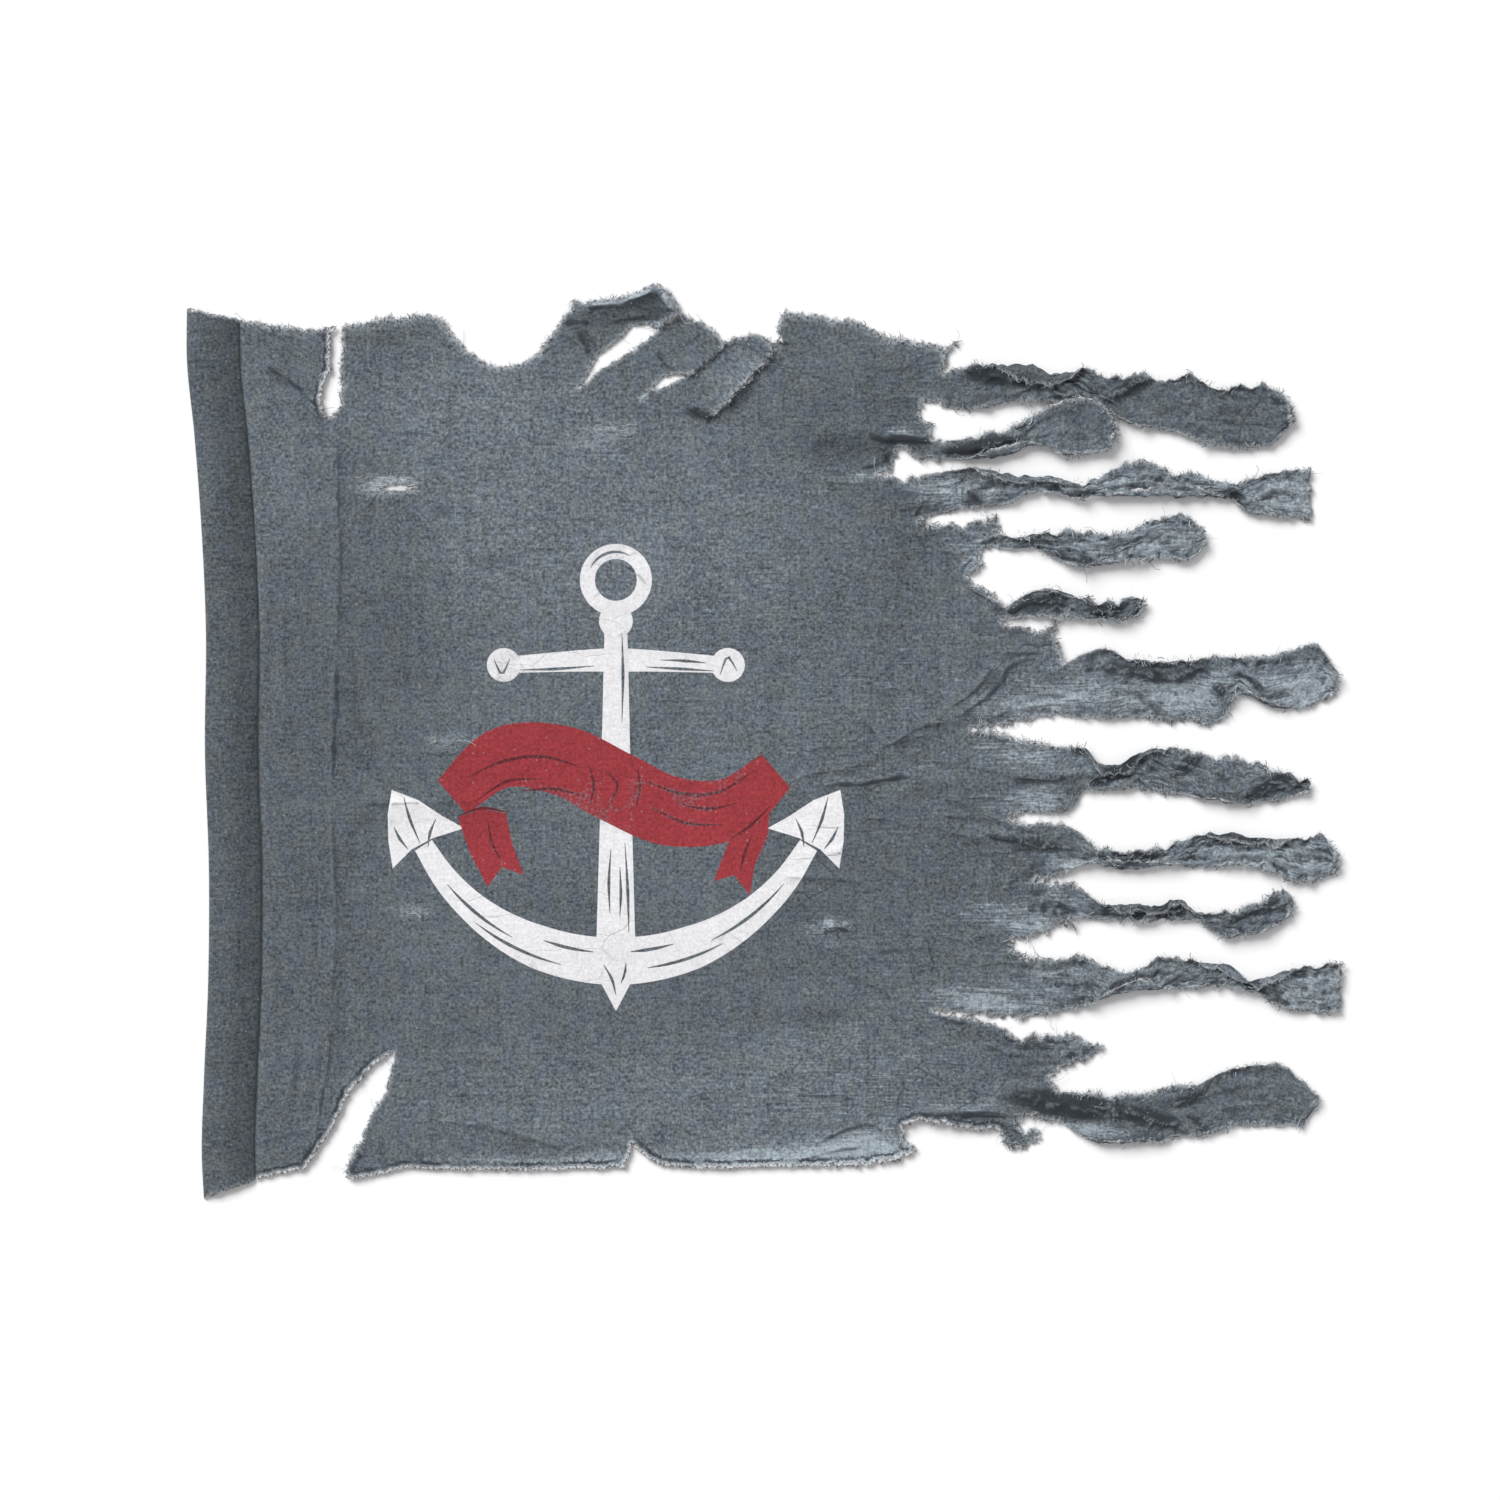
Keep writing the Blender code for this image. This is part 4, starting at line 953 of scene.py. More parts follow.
def sashLines():
    half = printed["lineHalf"]
    runs = [
        [(-148, -6), (-112, -22), (-70, -26), (-36, -16)],
        [(-140, 18), (-108, -2), (-76, -4)],
        [(-96, 8), (-60, 6), (-28, 14)],
        [(30, -2), (62, 10), (100, 10), (138, -12)],
        [(34, 24), (70, 40), (108, 42)],
        [(60, 20), (92, 26), (122, 20)],
        [(-128, 38), (-124, 60), (-114, 78)],
        [(136, 52), (128, 72), (124, 90)],
        [(-27, -18), (-22, 2), (-26, 22)],
        [(22, -14), (24, 4), (20, 24)],
        [(-10, -12), (2, 2), (-6, 20)],
        [(-158, 33), (-134, 25), (-108, 29)],
        [(114, 56), (134, 43), (155, 22)],
    ]
    return [band(run, (0.3, 1.1 * half, 1.2 * half, 0.3), 8) for run in runs]


def inkKinds(points):
    # The ink at each point: 0 for bare cloth, 1 white, 2 red, 3 the dark lines of the sash
    p = printed
    points = points - p["middle"]
    away = np.hypot(points[:, 0], points[:, 1] - p["ringDown"])
    white = (away < p["ringOuter"]) & (away > p["ringInner"])
    for ring in whiteShapes():
        white |= inside(points, [ring])
    for ring in bareLines():
        white &= ~inside(points, [ring])
    kinds = white.astype(float)
    for ring in redShapes():
        kinds[inside(points, [ring])] = 2.0
    for ring in sashLines():
        kinds[inside(points, [ring])] = 3.0
    return kinds


def inkRings():
    # Closed lines that the sheet's mesh follows, so that the print has sharp edges
    p = printed
    rings = [*whiteShapes(), *bareLines(), *redShapes(), *sashLines()]
    rings += [circle(0, p["ringDown"], p["ringOuter"]), circle(0, p["ringDown"], p["ringInner"])]
    return [ring + p["middle"] for ring in rings]


def hexField(low, high, pitch):
    rows = np.arange(low[1], high[1], pitch * math.sqrt(3) / 2)
    points = []
    for j, down in enumerate(rows):
        across = np.arange(low[0] + (j % 2) * pitch / 2, high[0], pitch)
        points.append(np.column_stack([across, np.full(len(across), down)]))
    return np.concatenate(points)


def sheetPoints(outline, loops, torn, rings):
    # Places inside the sheet, closer together near torn edges and creases
    s = sheet
    low, high = outline.min(axis=0), outline.max(axis=0)
    edges = [dense(line, 1.0, closed=False) for line in torn] + [dense(loop, 1.0) for loop in loops[1:]]
    edgeTree = treeOf(np.concatenate(edges))
    limitTree = treeOf(np.concatenate([dense(line, 1.0) for line in [*loops, *rings]]))
    lines = [smoothPath(crease.places, 2.4) for crease in creases]
    creaseTree = treeOf(np.concatenate(lines))
    rows = []
    for crease, line in zip(creases, lines):
        ahead = np.gradient(line, axis=0)
        side = np.column_stack([-ahead[:, 1], ahead[:, 0]]) / np.hypot(*ahead.T)[:, None]
        offsets = (-4.2, -1.7, 0.0, 1.7, 4.2) if crease.height > 1.3 else (-2.0, 0.0, 2.0)
        rows += [line + side * off for off in offsets]
    rows = np.concatenate(rows)
    rows = rows[inside(rows, loops)]
    rows = rows[awayFrom(limitTree, rows)[0] > 1.5]
    tree, taken = treeOf(rows), np.zeros(len(rows), bool)
    for i, (x, y) in enumerate(rows):
        if not taken[i]:
            for _, j, _ in tree.find_range((x, y, 0), s["creaseGap"]):
                taken[j] = j != i
    kept = [rows[~taken]]
    print("  crease rows:", len(kept[0]), "places")
    levels = (
        (s["coarsePitch"], s["middleReach"], 1e9, s["creaseReach"], 1e9),
        (s["middlePitch"], s["fineReach"], s["middleReach"], 5.6, s["creaseReach"]),
        (s["finePitch"], 0.0, s["fineReach"], 5.6, -1.0),
    )
    for pitch, edgeFrom, edgeTo, creaseFrom, creaseTo in levels:
        points = hexField(low, high, pitch)
        points = points[inside(points, loops)]
        edge, crease = awayFrom(edgeTree, points)[0], awayFrom(creaseTree, points)[0]
        fly = smooth((points[:, 0] - 620) / 60)
        wide = fly * (s["flyReach"] - s["middleReach"])
        if pitch == s["coarsePitch"]:
            edgeFrom = edgeFrom + wide
        elif pitch == s["middlePitch"]:
            edgeTo = edgeTo + wide
        far = (edge > edgeFrom) & (crease > creaseFrom)
        near = (edge <= edgeTo) | (crease <= creaseTo)
        points = points[far & near]
        limit = awayFrom(limitTree, points)[0]
        kept.append(points[limit > 0.45 * min(pitch, 5.0)])
        print("  field of", pitch, "mm:", len(kept[-1]), "places")
    return np.concatenate(kept), edgeTree


def joinedMesh(points, faces, uvs, fields, name):
    mesh = bpy.data.meshes.new(name)
    mesh.from_pydata(toWorld(points).tolist(), [], faces)
    layer = mesh.uv_layers.new(name="weave")
    corner = np.empty(len(mesh.loops), np.int32)
    mesh.loops.foreach_get("vertex_index", corner)
    layer.uv.foreach_set("vector", (np.asarray(uvs)[corner] * millimetre).astype(np.float32).ravel())
    for field, values in fields.items():
        storeField(mesh, field, values)
    mesh.shade_smooth()
    mesh.validate()
    return placed(name, mesh)


def neighbourMean(points, pairs, passes):
    count = np.zeros(len(points))
    np.add.at(count, pairs.ravel(), 1)
    spread = points.copy()
    for _ in range(passes):
        total = np.zeros_like(points)
        np.add.at(total, pairs[:, 0], spread[pairs[:, 1]])
        np.add.at(total, pairs[:, 1], spread[pairs[:, 0]])
        spread = (spread + total / np.maximum(count, 1)[:, None]) / 2
    return spread


def vertexRows(mesh, kind):
    rows = np.empty(len(mesh.vertices) * 3)
    mesh.vertices.foreach_get(kind, rows)
    return rows.reshape(-1, 3)


def hollows(mesh, passes):
    # How far each point lies below (positive) or above its surroundings, in millimetres
    points, normals = vertexRows(mesh, "co"), vertexRows(mesh, "normal")
    pairs = np.empty(len(mesh.edges) * 2, np.int64)
    mesh.edges.foreach_get("vertices", pairs)
    spread = neighbourMean(points, pairs.reshape(-1, 2), passes)
    return ((spread - points) * normals).sum(axis=1) / millimetre


def thickened(made, thickness, offset):
    solid = made.modifiers.new("thickness", "SOLIDIFY")
    solid.thickness = thickness * millimetre
    solid.offset = offset
    return solid


def sheetParts():
    grids = [ribbonGrid(ribbon, number) for number, ribbon in enumerate(ribbons)]
    outline, torn = sheetOutline(grids)
    loops = [outline, *[slitLoop(slit) for slit in slits]]
    rings = inkRings()
    field, edgeTree = sheetPoints(outline, loops, torn, rings)
    points, edges = [], []
    for loop in [*loops, *rings]:
        start = len(points)
        points += [tuple(p) for p in loop]
        edges += [(start + i, start + (i + 1) % len(loop)) for i in range(len(loop))]
    points += [tuple(p) for p in field]
    flat, _, faces, _, _, _ = delaunay_2d_cdt([Vector(p) for p in points], edges, [], 0, 1e-5)
    flat = np.array([tuple(p) for p in flat])
    centres = flat[np.array(faces)].mean(axis=1)
    kept = inside(centres, loops)
    inks = inkKinds(centres[kept])
    faces = [tuple(face)[::-1] for face, keep in zip(faces, kept) if keep]
    print("  flat sheet:", len(flat), "points,", len(faces), "triangles")

    rim = awayFrom(edgeTree, flat)[0]
    places = [np.column_stack([flat, np.zeros(len(flat))])]
    uvs, rims = [flat], [rim]
    total = len(flat)
    for number, columns in enumerate(grids):
        root = columns[0]
        ids = [[int(np.hypot(*(flat - p[:2]).T).argmin()) for p in root]]
        for column in columns[1:]:
            ids.append(list(range(total, total + len(column))))
            total += len(column)
            places.append(column[:, :3])
            uvs.append(column[:, 3:5])
            rims.append(column[:, 5])
        for left, right in zip(ids[:-1], ids[1:]):
            for j in range(len(left) - 1):
                faces.append((left[j], right[j], right[j + 1], left[j + 1]))
    places, uvs, rim = np.concatenate(places), np.concatenate(uvs), np.concatenate(rims)
    return flat, places, uvs, rim, faces, inks


def rimFields(points, rim):
    # Where an edge has curled into a bead, from 0 to 1
    away = awayFrom(curledTree, points)[0]
    return smooth(1.6 - away / sheet["beadReach"]) * smooth(2 - rim / sheet["beadReach"])


def patchTone(points):
    tone = np.zeros(len(points))
    for patch in patches:
        turn = math.radians(patch.tilt)
        offset = points - (patch.across, patch.down)
        along = (offset[:, 0] * math.cos(turn) + offset[:, 1] * math.sin(turn)) / patch.long
        wide = (offset[:, 1] * math.cos(turn) - offset[:, 0] * math.sin(turn)) / patch.wide
        tone += patch.strength * smooth(1.15 - np.hypot(along, wide))
    return tone


def makeSheet(material):
    flat, places, uvs, rim, faces, inks = sheetParts()
    body = len(flat)
    seen = places[:, :2]
    creaseHeight, creaseAway, creaseShade = creaseFields(seen)
    move = np.zeros((len(places), 3))
    move[:body] = lapped(flat)
    bead = rimFields(seen, rim)
    x, y = seen.T
    wobble = 0.55 + 0.45 * grain(x, y, 22, 21)
    lip = sheet["rimHeight"] * wobble * smooth(1 - rim / sheet["lipWidth"]) * (1 - bead)
    roll = sheet["beadHeight"] * bead * (0.75 + 0.5 * wobble) * smooth(1 - rim / sheet["beadWidth"])
    height = ridgeHeight(seen) + creaseHeight + crinkled(seen, rim) + lip + roll
    places = places + move
    places[:, 2] += height
    places[:, 2] -= sheet["softShare"] * np.maximum(places[:, 2] - sheet["softTop"], 0)
    places[:, 2] += sheet["rest"]
    print("  highest:", round(float(places[:, 2].max()), 1), "mm")
    inkEdge = np.full(len(places), farAway)
    inkTree = treeOf(np.concatenate([dense(ring, 1.5) for ring in inkRings()]))
    inkEdge[:body] = awayFrom(inkTree, flat)[0]
    fields = {
        "edge": rim,
        "crease": creaseAway,
        "creaseShade": creaseShade,
        "bead": bead,
        "tone": patchTone(seen),
        "inkEdge": inkEdge,
        "fuzzy": smooth((110 - y) / 30) * smooth((780 - x) / 20) * smooth(np.abs(x - 465) / 20 - 4.9),
        "wrinkled": 0.25 + 0.75 * smooth((seen[:, 0] - 430) / 300),
    }
    made = joinedMesh(places, faces, uvs, fields, "flag_sheet")
    mesh = made.data
    kinds = np.zeros(len(mesh.polygons), np.float32)
    kinds[: len(inks)] = inks
    storeField(mesh, "ink", kinds, "FACE")
    fly = smooth((x - 760) / 100)
    storeField(mesh, "hollow", hollows(mesh, 5) * (0.3 + 0.7 * fly))
    mesh.materials.append(material)
    solid = thickened(made, sheet["thickness"], 1)
    solid.use_even_offset = False
    print("sheet:", len(mesh.vertices), "points,", len(mesh.polygons), "faces")
    return made


# The pole sleeve: a flat tube of the same cotton

sleeve = {
    "rings": 220,
    "around": 44,
    "crown": 5.4,
    "foot": 0.5,
    "thickness": 0.5,
    "ragged": 1.6,
}


def sleeveSection(ring):
    # Across and height of the tube's wall, from the outer fold over the top to the seam and back
    width = sheet["sleeveWidth"]
    half = sleeve["around"] // 2
    t = np.linspace(0, 1, half + 1)
    across = width * (1 - np.cos(math.pi * t)) / 2
    sag = 0.84 + 0.16 * grain(across * 0.5 + 5, across * 0 + ring * 0.9, 16, 11)
    crown = sleeve["crown"] * np.sin(math.pi * t) ** 0.8 * sag
    wrinkle = 0.5 * np.abs(grain(across, across * 0 + ring * 4.0, 13, 12)) * np.sin(math.pi * t)
    top = np.column_stack([across, sleeve["foot"] + 0.6 + crown + wrinkle])
    back = np.column_stack([across[-2:0:-1], np.full(half - 1, sleeve["foot"])])
    return np.concatenate([top, back])


def makeSleeve(material):
    rings, size = sleeve["rings"], sleeve["around"]
    points, uvs, faces, rims, tones = [], [], [], [], []
    for k in range(rings + 1):
        section = sleeveSection(k)
        step = np.hypot(*np.diff(section, axis=0, append=section[:1]).T)
        girth = np.concatenate([[0], np.cumsum(step)])
        for j, (across, height) in enumerate(section):
            part = across / sheet["sleeveWidth"]
            first = sleeveTop[0] + (sleeveTop[1] - sleeveTop[0]) * part
            last = sleeveFoot[0] + (sleeveFoot[1] - sleeveFoot[0]) * part
            first += sleeve["ragged"] * float(grain(np.array(across), np.array(height), 4, 14))
            last += sleeve["ragged"] * float(grain(np.array(across), np.array(height), 4, 15))
            down = first + (last - first) * k / rings
            points.append((float(flow(down, sleeveRows)) + across, down, height))
            uvs.append((girth[j] - 200, down))
            rims.append(min(down - first, last - down))
            tones.append(0.06 - 0.26 * float(smooth((part - 0.3) / 0.4)))
    for k in range(rings):
        for j in range(size):
            a, b = k * size + j, k * size + (j + 1) % size
            faces.append((a, a + size, b + size, b))
    far, none = np.full(len(points), farAway), np.zeros(len(points))
    fields = {
        "edge": rims, "crease": far, "creaseShade": none, "bead": none, "tone": tones, "inkEdge": far,
        "fuzzy": none, "wrinkled": none,
    }
    made = joinedMesh(points, faces, uvs, fields, "pole_sleeve")
    mesh = made.data
    storeField(mesh, "hollow", hollows(mesh, 3))
    mesh.materials.append(material)
    thickened(made, sleeve["thickness"], -1)
    print("sleeve:", len(mesh.vertices), "points")
    return made


# Finishes

class Bench:
    # Adds nodes to one tree. An input is a number, a colour or another node's output.
    def __init__(self, tree):
        self.tree = tree

    def add(self, kind, inputs=None, **settings):
        made = self.tree.nodes.new(kind)
        for name, value in settings.items():
            setattr(made, name, value)
        for name, value in (inputs or {}).items():
            self.feed(made.inputs[name], value)
        return made

    def feed(self, socket, value):
        if isinstance(value, bpy.types.NodeSocket):
            self.tree.links.new(value, socket)
        elif socket.type == "RGBA":
            socket.default_value = (*value, 1.0)
        else:
            socket.default_value = value

    def calc(self, operation, *values):
        made = self.tree.nodes.new("ShaderNodeMath")
        made.operation = operation
        for socket, value in zip(made.inputs, values):
            self.feed(socket, value)
        return made.outputs[0]

    def times(self, a, b):
        return self.calc("MULTIPLY", a, b)

    def plus(self, a, b):
        return self.calc("ADD", a, b)

    def less(self, a, b):
        return self.calc("SUBTRACT", a, b)

    def line(self, value, slope, start):
        return self.calc("MULTIPLY_ADD", value, slope, start)

    def rest(self, value):
        # What is left of 1
        return self.calc("SUBTRACT", 1.0, value)

    def step(self, value, low, high, to=1.0):
        # 0 at low and the given value at high, with a soft start and end
        made = self.add("ShaderNodeMapRange", interpolation_type="SMOOTHSTEP")
        parts = {"Value": value, "From Min": low, "From Max": high, "To Min": 0.0, "To Max": to}
        for name, part in parts.items():
            self.feed(made.inputs[name], part)
        return made.outputs[0]

    def blend(self, share, under, over):
        made = self.add("ShaderNodeMix", data_type="RGBA")
        self.feed(made.inputs[0], share)
        self.feed(made.inputs[6], under)
        self.feed(made.inputs[7], over)
        return made.outputs[2]

    def scale(self, colour, by):
        made = self.add("ShaderNodeVectorMath", operation="SCALE")
        self.feed(made.inputs[0], colour)
        self.feed(made.inputs["Scale"], by)
        return made.outputs[0]

    def noise(self, place, stretch, detail=2.0, roughness=0.5):
        cloud = self.add("ShaderNodeTexNoise")
        self.feed(cloud.inputs["Vector"], self.stretch(place, stretch))
        cloud.inputs["Scale"].default_value = 1.0
        cloud.inputs["Detail"].default_value = detail
        cloud.inputs["Roughness"].default_value = roughness
        return cloud.outputs["Fac"]

    def stretch(self, place, by):
        made = self.add("ShaderNodeVectorMath", operation="MULTIPLY")
        self.feed(made.inputs[0], place)
        made.inputs[1].default_value = by
        return made.outputs[0]

    def weigh(self, base, *pairs):
        # The base plus each noise's distance from its middle value, times its weight
        total = base - sum(weight for _, weight in pairs) / 2
        for value, weight in pairs:
            total = self.line(value, weight, total)
        return total

    def field(self, name):
        return self.add("ShaderNodeAttribute", attribute_name=name).outputs["Fac"]


def plainFinish(name):
    material = bpy.data.materials.new(name)
    material.use_nodes = True
    return material, material.node_tree.nodes["Principled BSDF"]


cotton = {
    "blueGrey": (0.096, 0.115, 0.138),
    "greenGrey": (0.107, 0.123, 0.131),
    # Pale colour of bleached places, also used for the painted highlight on ridges
    "bleachedAndHighlight": (0.290, 0.338, 0.370),
    "frayed": (0.420, 0.460, 0.490),
    "rim": (0.690, 0.690, 0.695),
    # Colour of the painted shade in creases, hollows and behind curled rims, and of the dark speckles at
    # torn edges
    "shadeDark": (0.022, 0.027, 0.034),
    "inkWhite": (0.780, 0.770, 0.785),
    "inkRed": (0.300, 0.030, 0.038),
    "inkDarkRed": (0.120, 0.012, 0.018),
    "threadPitch": 0.0009,
    "roughness": 0.92,
    "sheen": 0.25,
    "sheenSpread": 0.5,
    "shine": 0.2,
    "relief": 0.55,
    "reliefDepth": 0.0004,
}

# The yarn's unevenness: repeats to the metre across and down, detail, roughness
yarnNoises = {
    "warp": (1500, 42, 2.0, 0.5),
    "weft": (42, 1500, 2.0, 0.5),
    "wideWarp": (110, 9, 3.0, 0.5),
    "wideWeft": (16, 420, 2.0, 0.5),
    "mottle": (330, 330, 4.0, 0.7),
    "cloud": (11, 11, 3.0, 0.5),
    "blotch": (170, 170, 3.0, 0.6),
    "lump": (62, 62, 2.0, 0.5),
}
# How much of each is in the yarn's lightness
yarnWeights = {
    "warp": 0.5, "weft": 0.5, "wideWarp": 0.45, "wideWeft": 0.4, "mottle": 3.6, "blotch": 1.2,
    "lump": 0.6, "cloud": 0.55,
}


def cottonFinish(name, darker):
    c = cotton
    material, shader = plainFinish(name)
    bench = Bench(material.node_tree)
    weave = bench.add("ShaderNodeUVMap", uv_map="weave").outputs[0]
    edge, hollow, tone = bench.field("edge"), bench.field("hollow"), bench.field("tone")

    # Uneven yarn: long streaks both ways, a mottle of a few millimetres and broad clouds
    def noise(across, down, detail=2.0, roughness=0.5):
        return bench.noise(weave, (across, down, 1), detail, roughness)

    noises = {name: noise(*row) for name, row in yarnNoises.items()}
    mottle, blotch, cloud, wideWeft = [noises[n] for n in ("mottle", "blotch", "cloud", "wideWeft")]
    light = bench.weigh(1.0, *[(noises[name], weight) for name, weight in yarnWeights.items()])
    light = bench.calc("MAXIMUM", light, 0.35)
    hue = bench.line(mottle, 0.8, noise(60, 40, 3.0))
    colour = bench.blend(bench.step(hue, 0.76, 1.04), c["blueGrey"], c["greenGrey"])
    colour = bench.scale(colour, bench.times(light, darker))

    # Bleached places, dirt, and painted shade and shadow in folds and beside laps, from the patches
    pale = bench.weigh(0.0, (mottle, 0.4), (blotch, 0.5), (wideWeft, 0.25))
    streak = bench.line(noise(30, 520, 2.0, 0.6), 2.4, -1.2)
    streak = bench.times(streak, bench.less(bench.field("wrinkled"), 0.25))
    pale = bench.step(bench.plus(bench.plus(pale, streak), tone), 0.05, 1.0, 0.85)
    colour = bench.blend(pale, colour, bench.scale(c["bleachedAndHighlight"], bench.line(light, 0.7, 0.3)))
    shade = bench.line(tone, 0.9, 1.0)
    colour = bench.scale(colour, bench.calc("MINIMUM", bench.calc("MAXIMUM", shade, 0.35), 1.15))

    # The print, worn thin in spots and along its edges
    ink = bench.field("ink")
    spots = bench.plus(bench.times(mottle, 0.7), bench.times(cloud, 0.5))
    wear = bench.less(spots, bench.times(bench.calc("MINIMUM", bench.field("inkEdge"), 3.0), 0.05))
    keeps = bench.less(0.97, bench.step(wear, 0.60, 0.80, 0.6))
    inkLight = bench.line(light, 0.22, 0.78)
    redLight = bench.line(light, 0.45, 0.55)
    isRed = bench.calc("GREATER_THAN", ink, 1.5)
    dye = bench.blend(isRed, bench.scale(c["inkWhite"], inkLight), bench.scale(c["inkRed"], redLight))
    dye = bench.blend(bench.calc("GREATER_THAN", ink, 2.5), dye, bench.scale(c["inkDarkRed"], redLight))
    colour = bench.blend(bench.times(bench.calc("GREATER_THAN", ink, 0.5), keeps), colour, dye)

    # Painted shade in the creases, hollows and hairline creases, and paler ridges that are partly rubbed
    # wear and partly a painted highlight
    place = bench.add("ShaderNodeVectorMath", operation="MULTIPLY_ADD")
    bends = bench.add("ShaderNodeTexNoise", {"Vector": weave, "Scale": 40.0})
    bench.feed(place.inputs[0], bends.outputs["Color"])
    place.inputs[1].default_value = (0.012, 0.012, 0.0)
    bench.feed(place.inputs[2], weave)
    cracks = bench.add("ShaderNodeTexVoronoi", feature="DISTANCE_TO_EDGE", voronoi_dimensions="2D")
    bench.feed(cracks.inputs["Vector"], bench.stretch(place.outputs[0], (14, 30, 1)))
    cracks.inputs["Scale"].default_value = 1.0
    shown = bench.step(noise(9, 12, 2.0), 0.50, 0.62)
    hairline = bench.rest(bench.step(cracks.outputs["Distance"], 0.004, 0.030))
    hairline = bench.times(hairline, shown)
    lines = bench.rest(bench.step(bench.field("crease"), 0.5, bench.line(mottle, 3.2, 0.1)))
    gaps = noise(48, 48, 2.0)
    lines = bench.times(lines, bench.plus(bench.step(gaps, 0.38, 0.56, 0.4), 0.6))
    lines = bench.times(lines, bench.field("creaseShade"))
    strokes = bench.times(lines, 0.66)
    fine = bench.times(hairline, bench.times(bench.field("wrinkled"), 0.5))
    paintedShade = bench.calc("MAXIMUM", strokes, fine)
    # Painted shade in the hollows between folds, found from the mesh's curvature
    paintedShade = bench.calc("MAXIMUM", paintedShade, bench.step(hollow, 0.05, 0.8, 0.8))
    colour = bench.blend(bench.calc("MINIMUM", paintedShade, 0.88), colour, c["shadeDark"])
    # Ridges paler, as rubbed wear and as a painted highlight
    ridgeWearAndHighlight = bench.step(hollow, -0.1, -0.8, 0.5)
    colour = bench.blend(bench.times(ridgeWearAndHighlight, bench.step(mottle, 0.35, 0.6)), colour, c["bleachedAndHighlight"])

    # Torn edges: a pale thread line, speckled fuzz behind it, and a line of painted shade in the trough
    # inside a curled rim
    bead = bench.field("bead")
    speckle = noise(370, 310, 2.0, 0.7)
    fuzzy = bench.times(bench.field("fuzzy"), bench.rest(bench.step(edge, 0.5, 11.0)))
    fuzzy = bench.times(fuzzy, bench.step(bench.line(blotch, 0.6, bench.times(speckle, 0.8)), 0.56, 0.84))
    colour = bench.blend(bench.times(fuzzy, 0.8), colour, bench.scale(c["frayed"], 0.85))
    zone = bench.rest(bench.step(edge, 0.8, 6.0))
    spotty = bench.step(bench.line(zone, 0.16, speckle), 0.50, 0.60)
    colour = bench.blend(bench.times(bench.times(spotty, zone), 0.5), colour, c["frayed"])
    dark = bench.step(bench.less(speckle, bench.times(zone, 0.1)), 0.42, 0.32)
    colour = bench.blend(bench.times(bench.times(dark, zone), 0.75), colour, c["shadeDark"])
    jag = bench.weigh(0.0, (speckle, 6.5), (mottle, 4.0))
    ragged = bench.plus(edge, jag)
    rimLine = bench.rest(bench.step(ragged, 0.8, bench.line(bead, 2.2, 1.9)))
    rimColour = bench.blend(bench.step(speckle, 0.43, 0.56), bench.scale(c["rim"], 0.22), c["rim"])
    colour = bench.blend(bench.times(rimLine, 0.9), colour, rimColour)
    # Painted shade where the curled rim rises from the cloth
    beadTroughShade = bench.calc("ABSOLUTE", bench.less(bench.line(jag, 1.1, edge), 6.0))
    beadTroughShade = bench.rest(bench.step(beadTroughShade, 0.9, 2.0))
    beadTroughShade = bench.times(beadTroughShade, bench.plus(bench.step(gaps, 0.36, 0.5, 0.6), 0.4))
    beadTroughShade = bench.times(bench.times(beadTroughShade, bead), 0.9)
    colour = bench.blend(beadTroughShade, colour, c["shadeDark"])

    # Neps: small pale specks
    specks = bench.add("ShaderNodeTexVoronoi", feature="F1", voronoi_dimensions="2D")
    bench.feed(specks.inputs["Vector"], weave)
    specks.inputs["Scale"].default_value = 95.0
    specks.inputs["Randomness"].default_value = 1.0
    spot = bench.rest(bench.step(specks.outputs["Distance"], 0.03, 0.10))
    pick = bench.add("ShaderNodeSeparateColor")
    bench.feed(pick.inputs[0], specks.outputs["Color"])
    spot = bench.times(spot, bench.step(pick.outputs[0], 0.86, 0.9))
    colour = bench.blend(bench.times(spot, 0.4), colour, c["frayed"])

    bench.feed(shader.inputs["Base Color"], colour)
    shader.inputs["Roughness"].default_value = c["roughness"]
    shader.inputs["Sheen Weight"].default_value = c["sheen"]
    shader.inputs["Sheen Roughness"].default_value = c["sheenSpread"]
    shader.inputs["Specular IOR Level"].default_value = c["shine"]

    # Plain weave and slubs in relief
    parted = bench.add("ShaderNodeSeparateXYZ")
    bench.feed(parted.inputs[0], weave)
    turns = math.pi / c["threadPitch"]
    over = bench.calc("SINE", bench.times(parted.outputs[0], turns))
    under = bench.calc("SINE", bench.times(parted.outputs[1], turns))
    threads = bench.times(over, under)
    relief = bench.line(bench.plus(noises["warp"], noises["weft"]), 0.8, bench.times(threads, 0.35))
    relief = bench.line(mottle, 1.6, bench.line(hairline, -1.2, relief))
    soft = bench.times(noise(55, 95, 2.0, 0.6), bench.field("wrinkled"))
    relief = bench.line(soft, 7.0, relief)
    bump = bench.add("ShaderNodeBump", {"Strength": c["relief"], "Distance": c["reliefDepth"]})
    bench.feed(bump.inputs["Height"], relief)
    bench.feed(shader.inputs["Normal"], bump.outputs[0])
    return material


# Darkest and palest of each kind of thread
threadColours = {
    "paleThread": ((0.07, 0.085, 0.10), (0.42, 0.47, 0.50)),
    "rimThread": ((0.14, 0.145, 0.15), (0.58, 0.58, 0.59)),
    "fuzzThread": ((0.02, 0.025, 0.032), (0.50, 0.54, 0.57)),
    "slitThread": ((0.22, 0.23, 0.24), (0.86, 0.86, 0.86)),
    "seamThread": ((0.05, 0.06, 0.07), (0.12, 0.14, 0.15)),
}


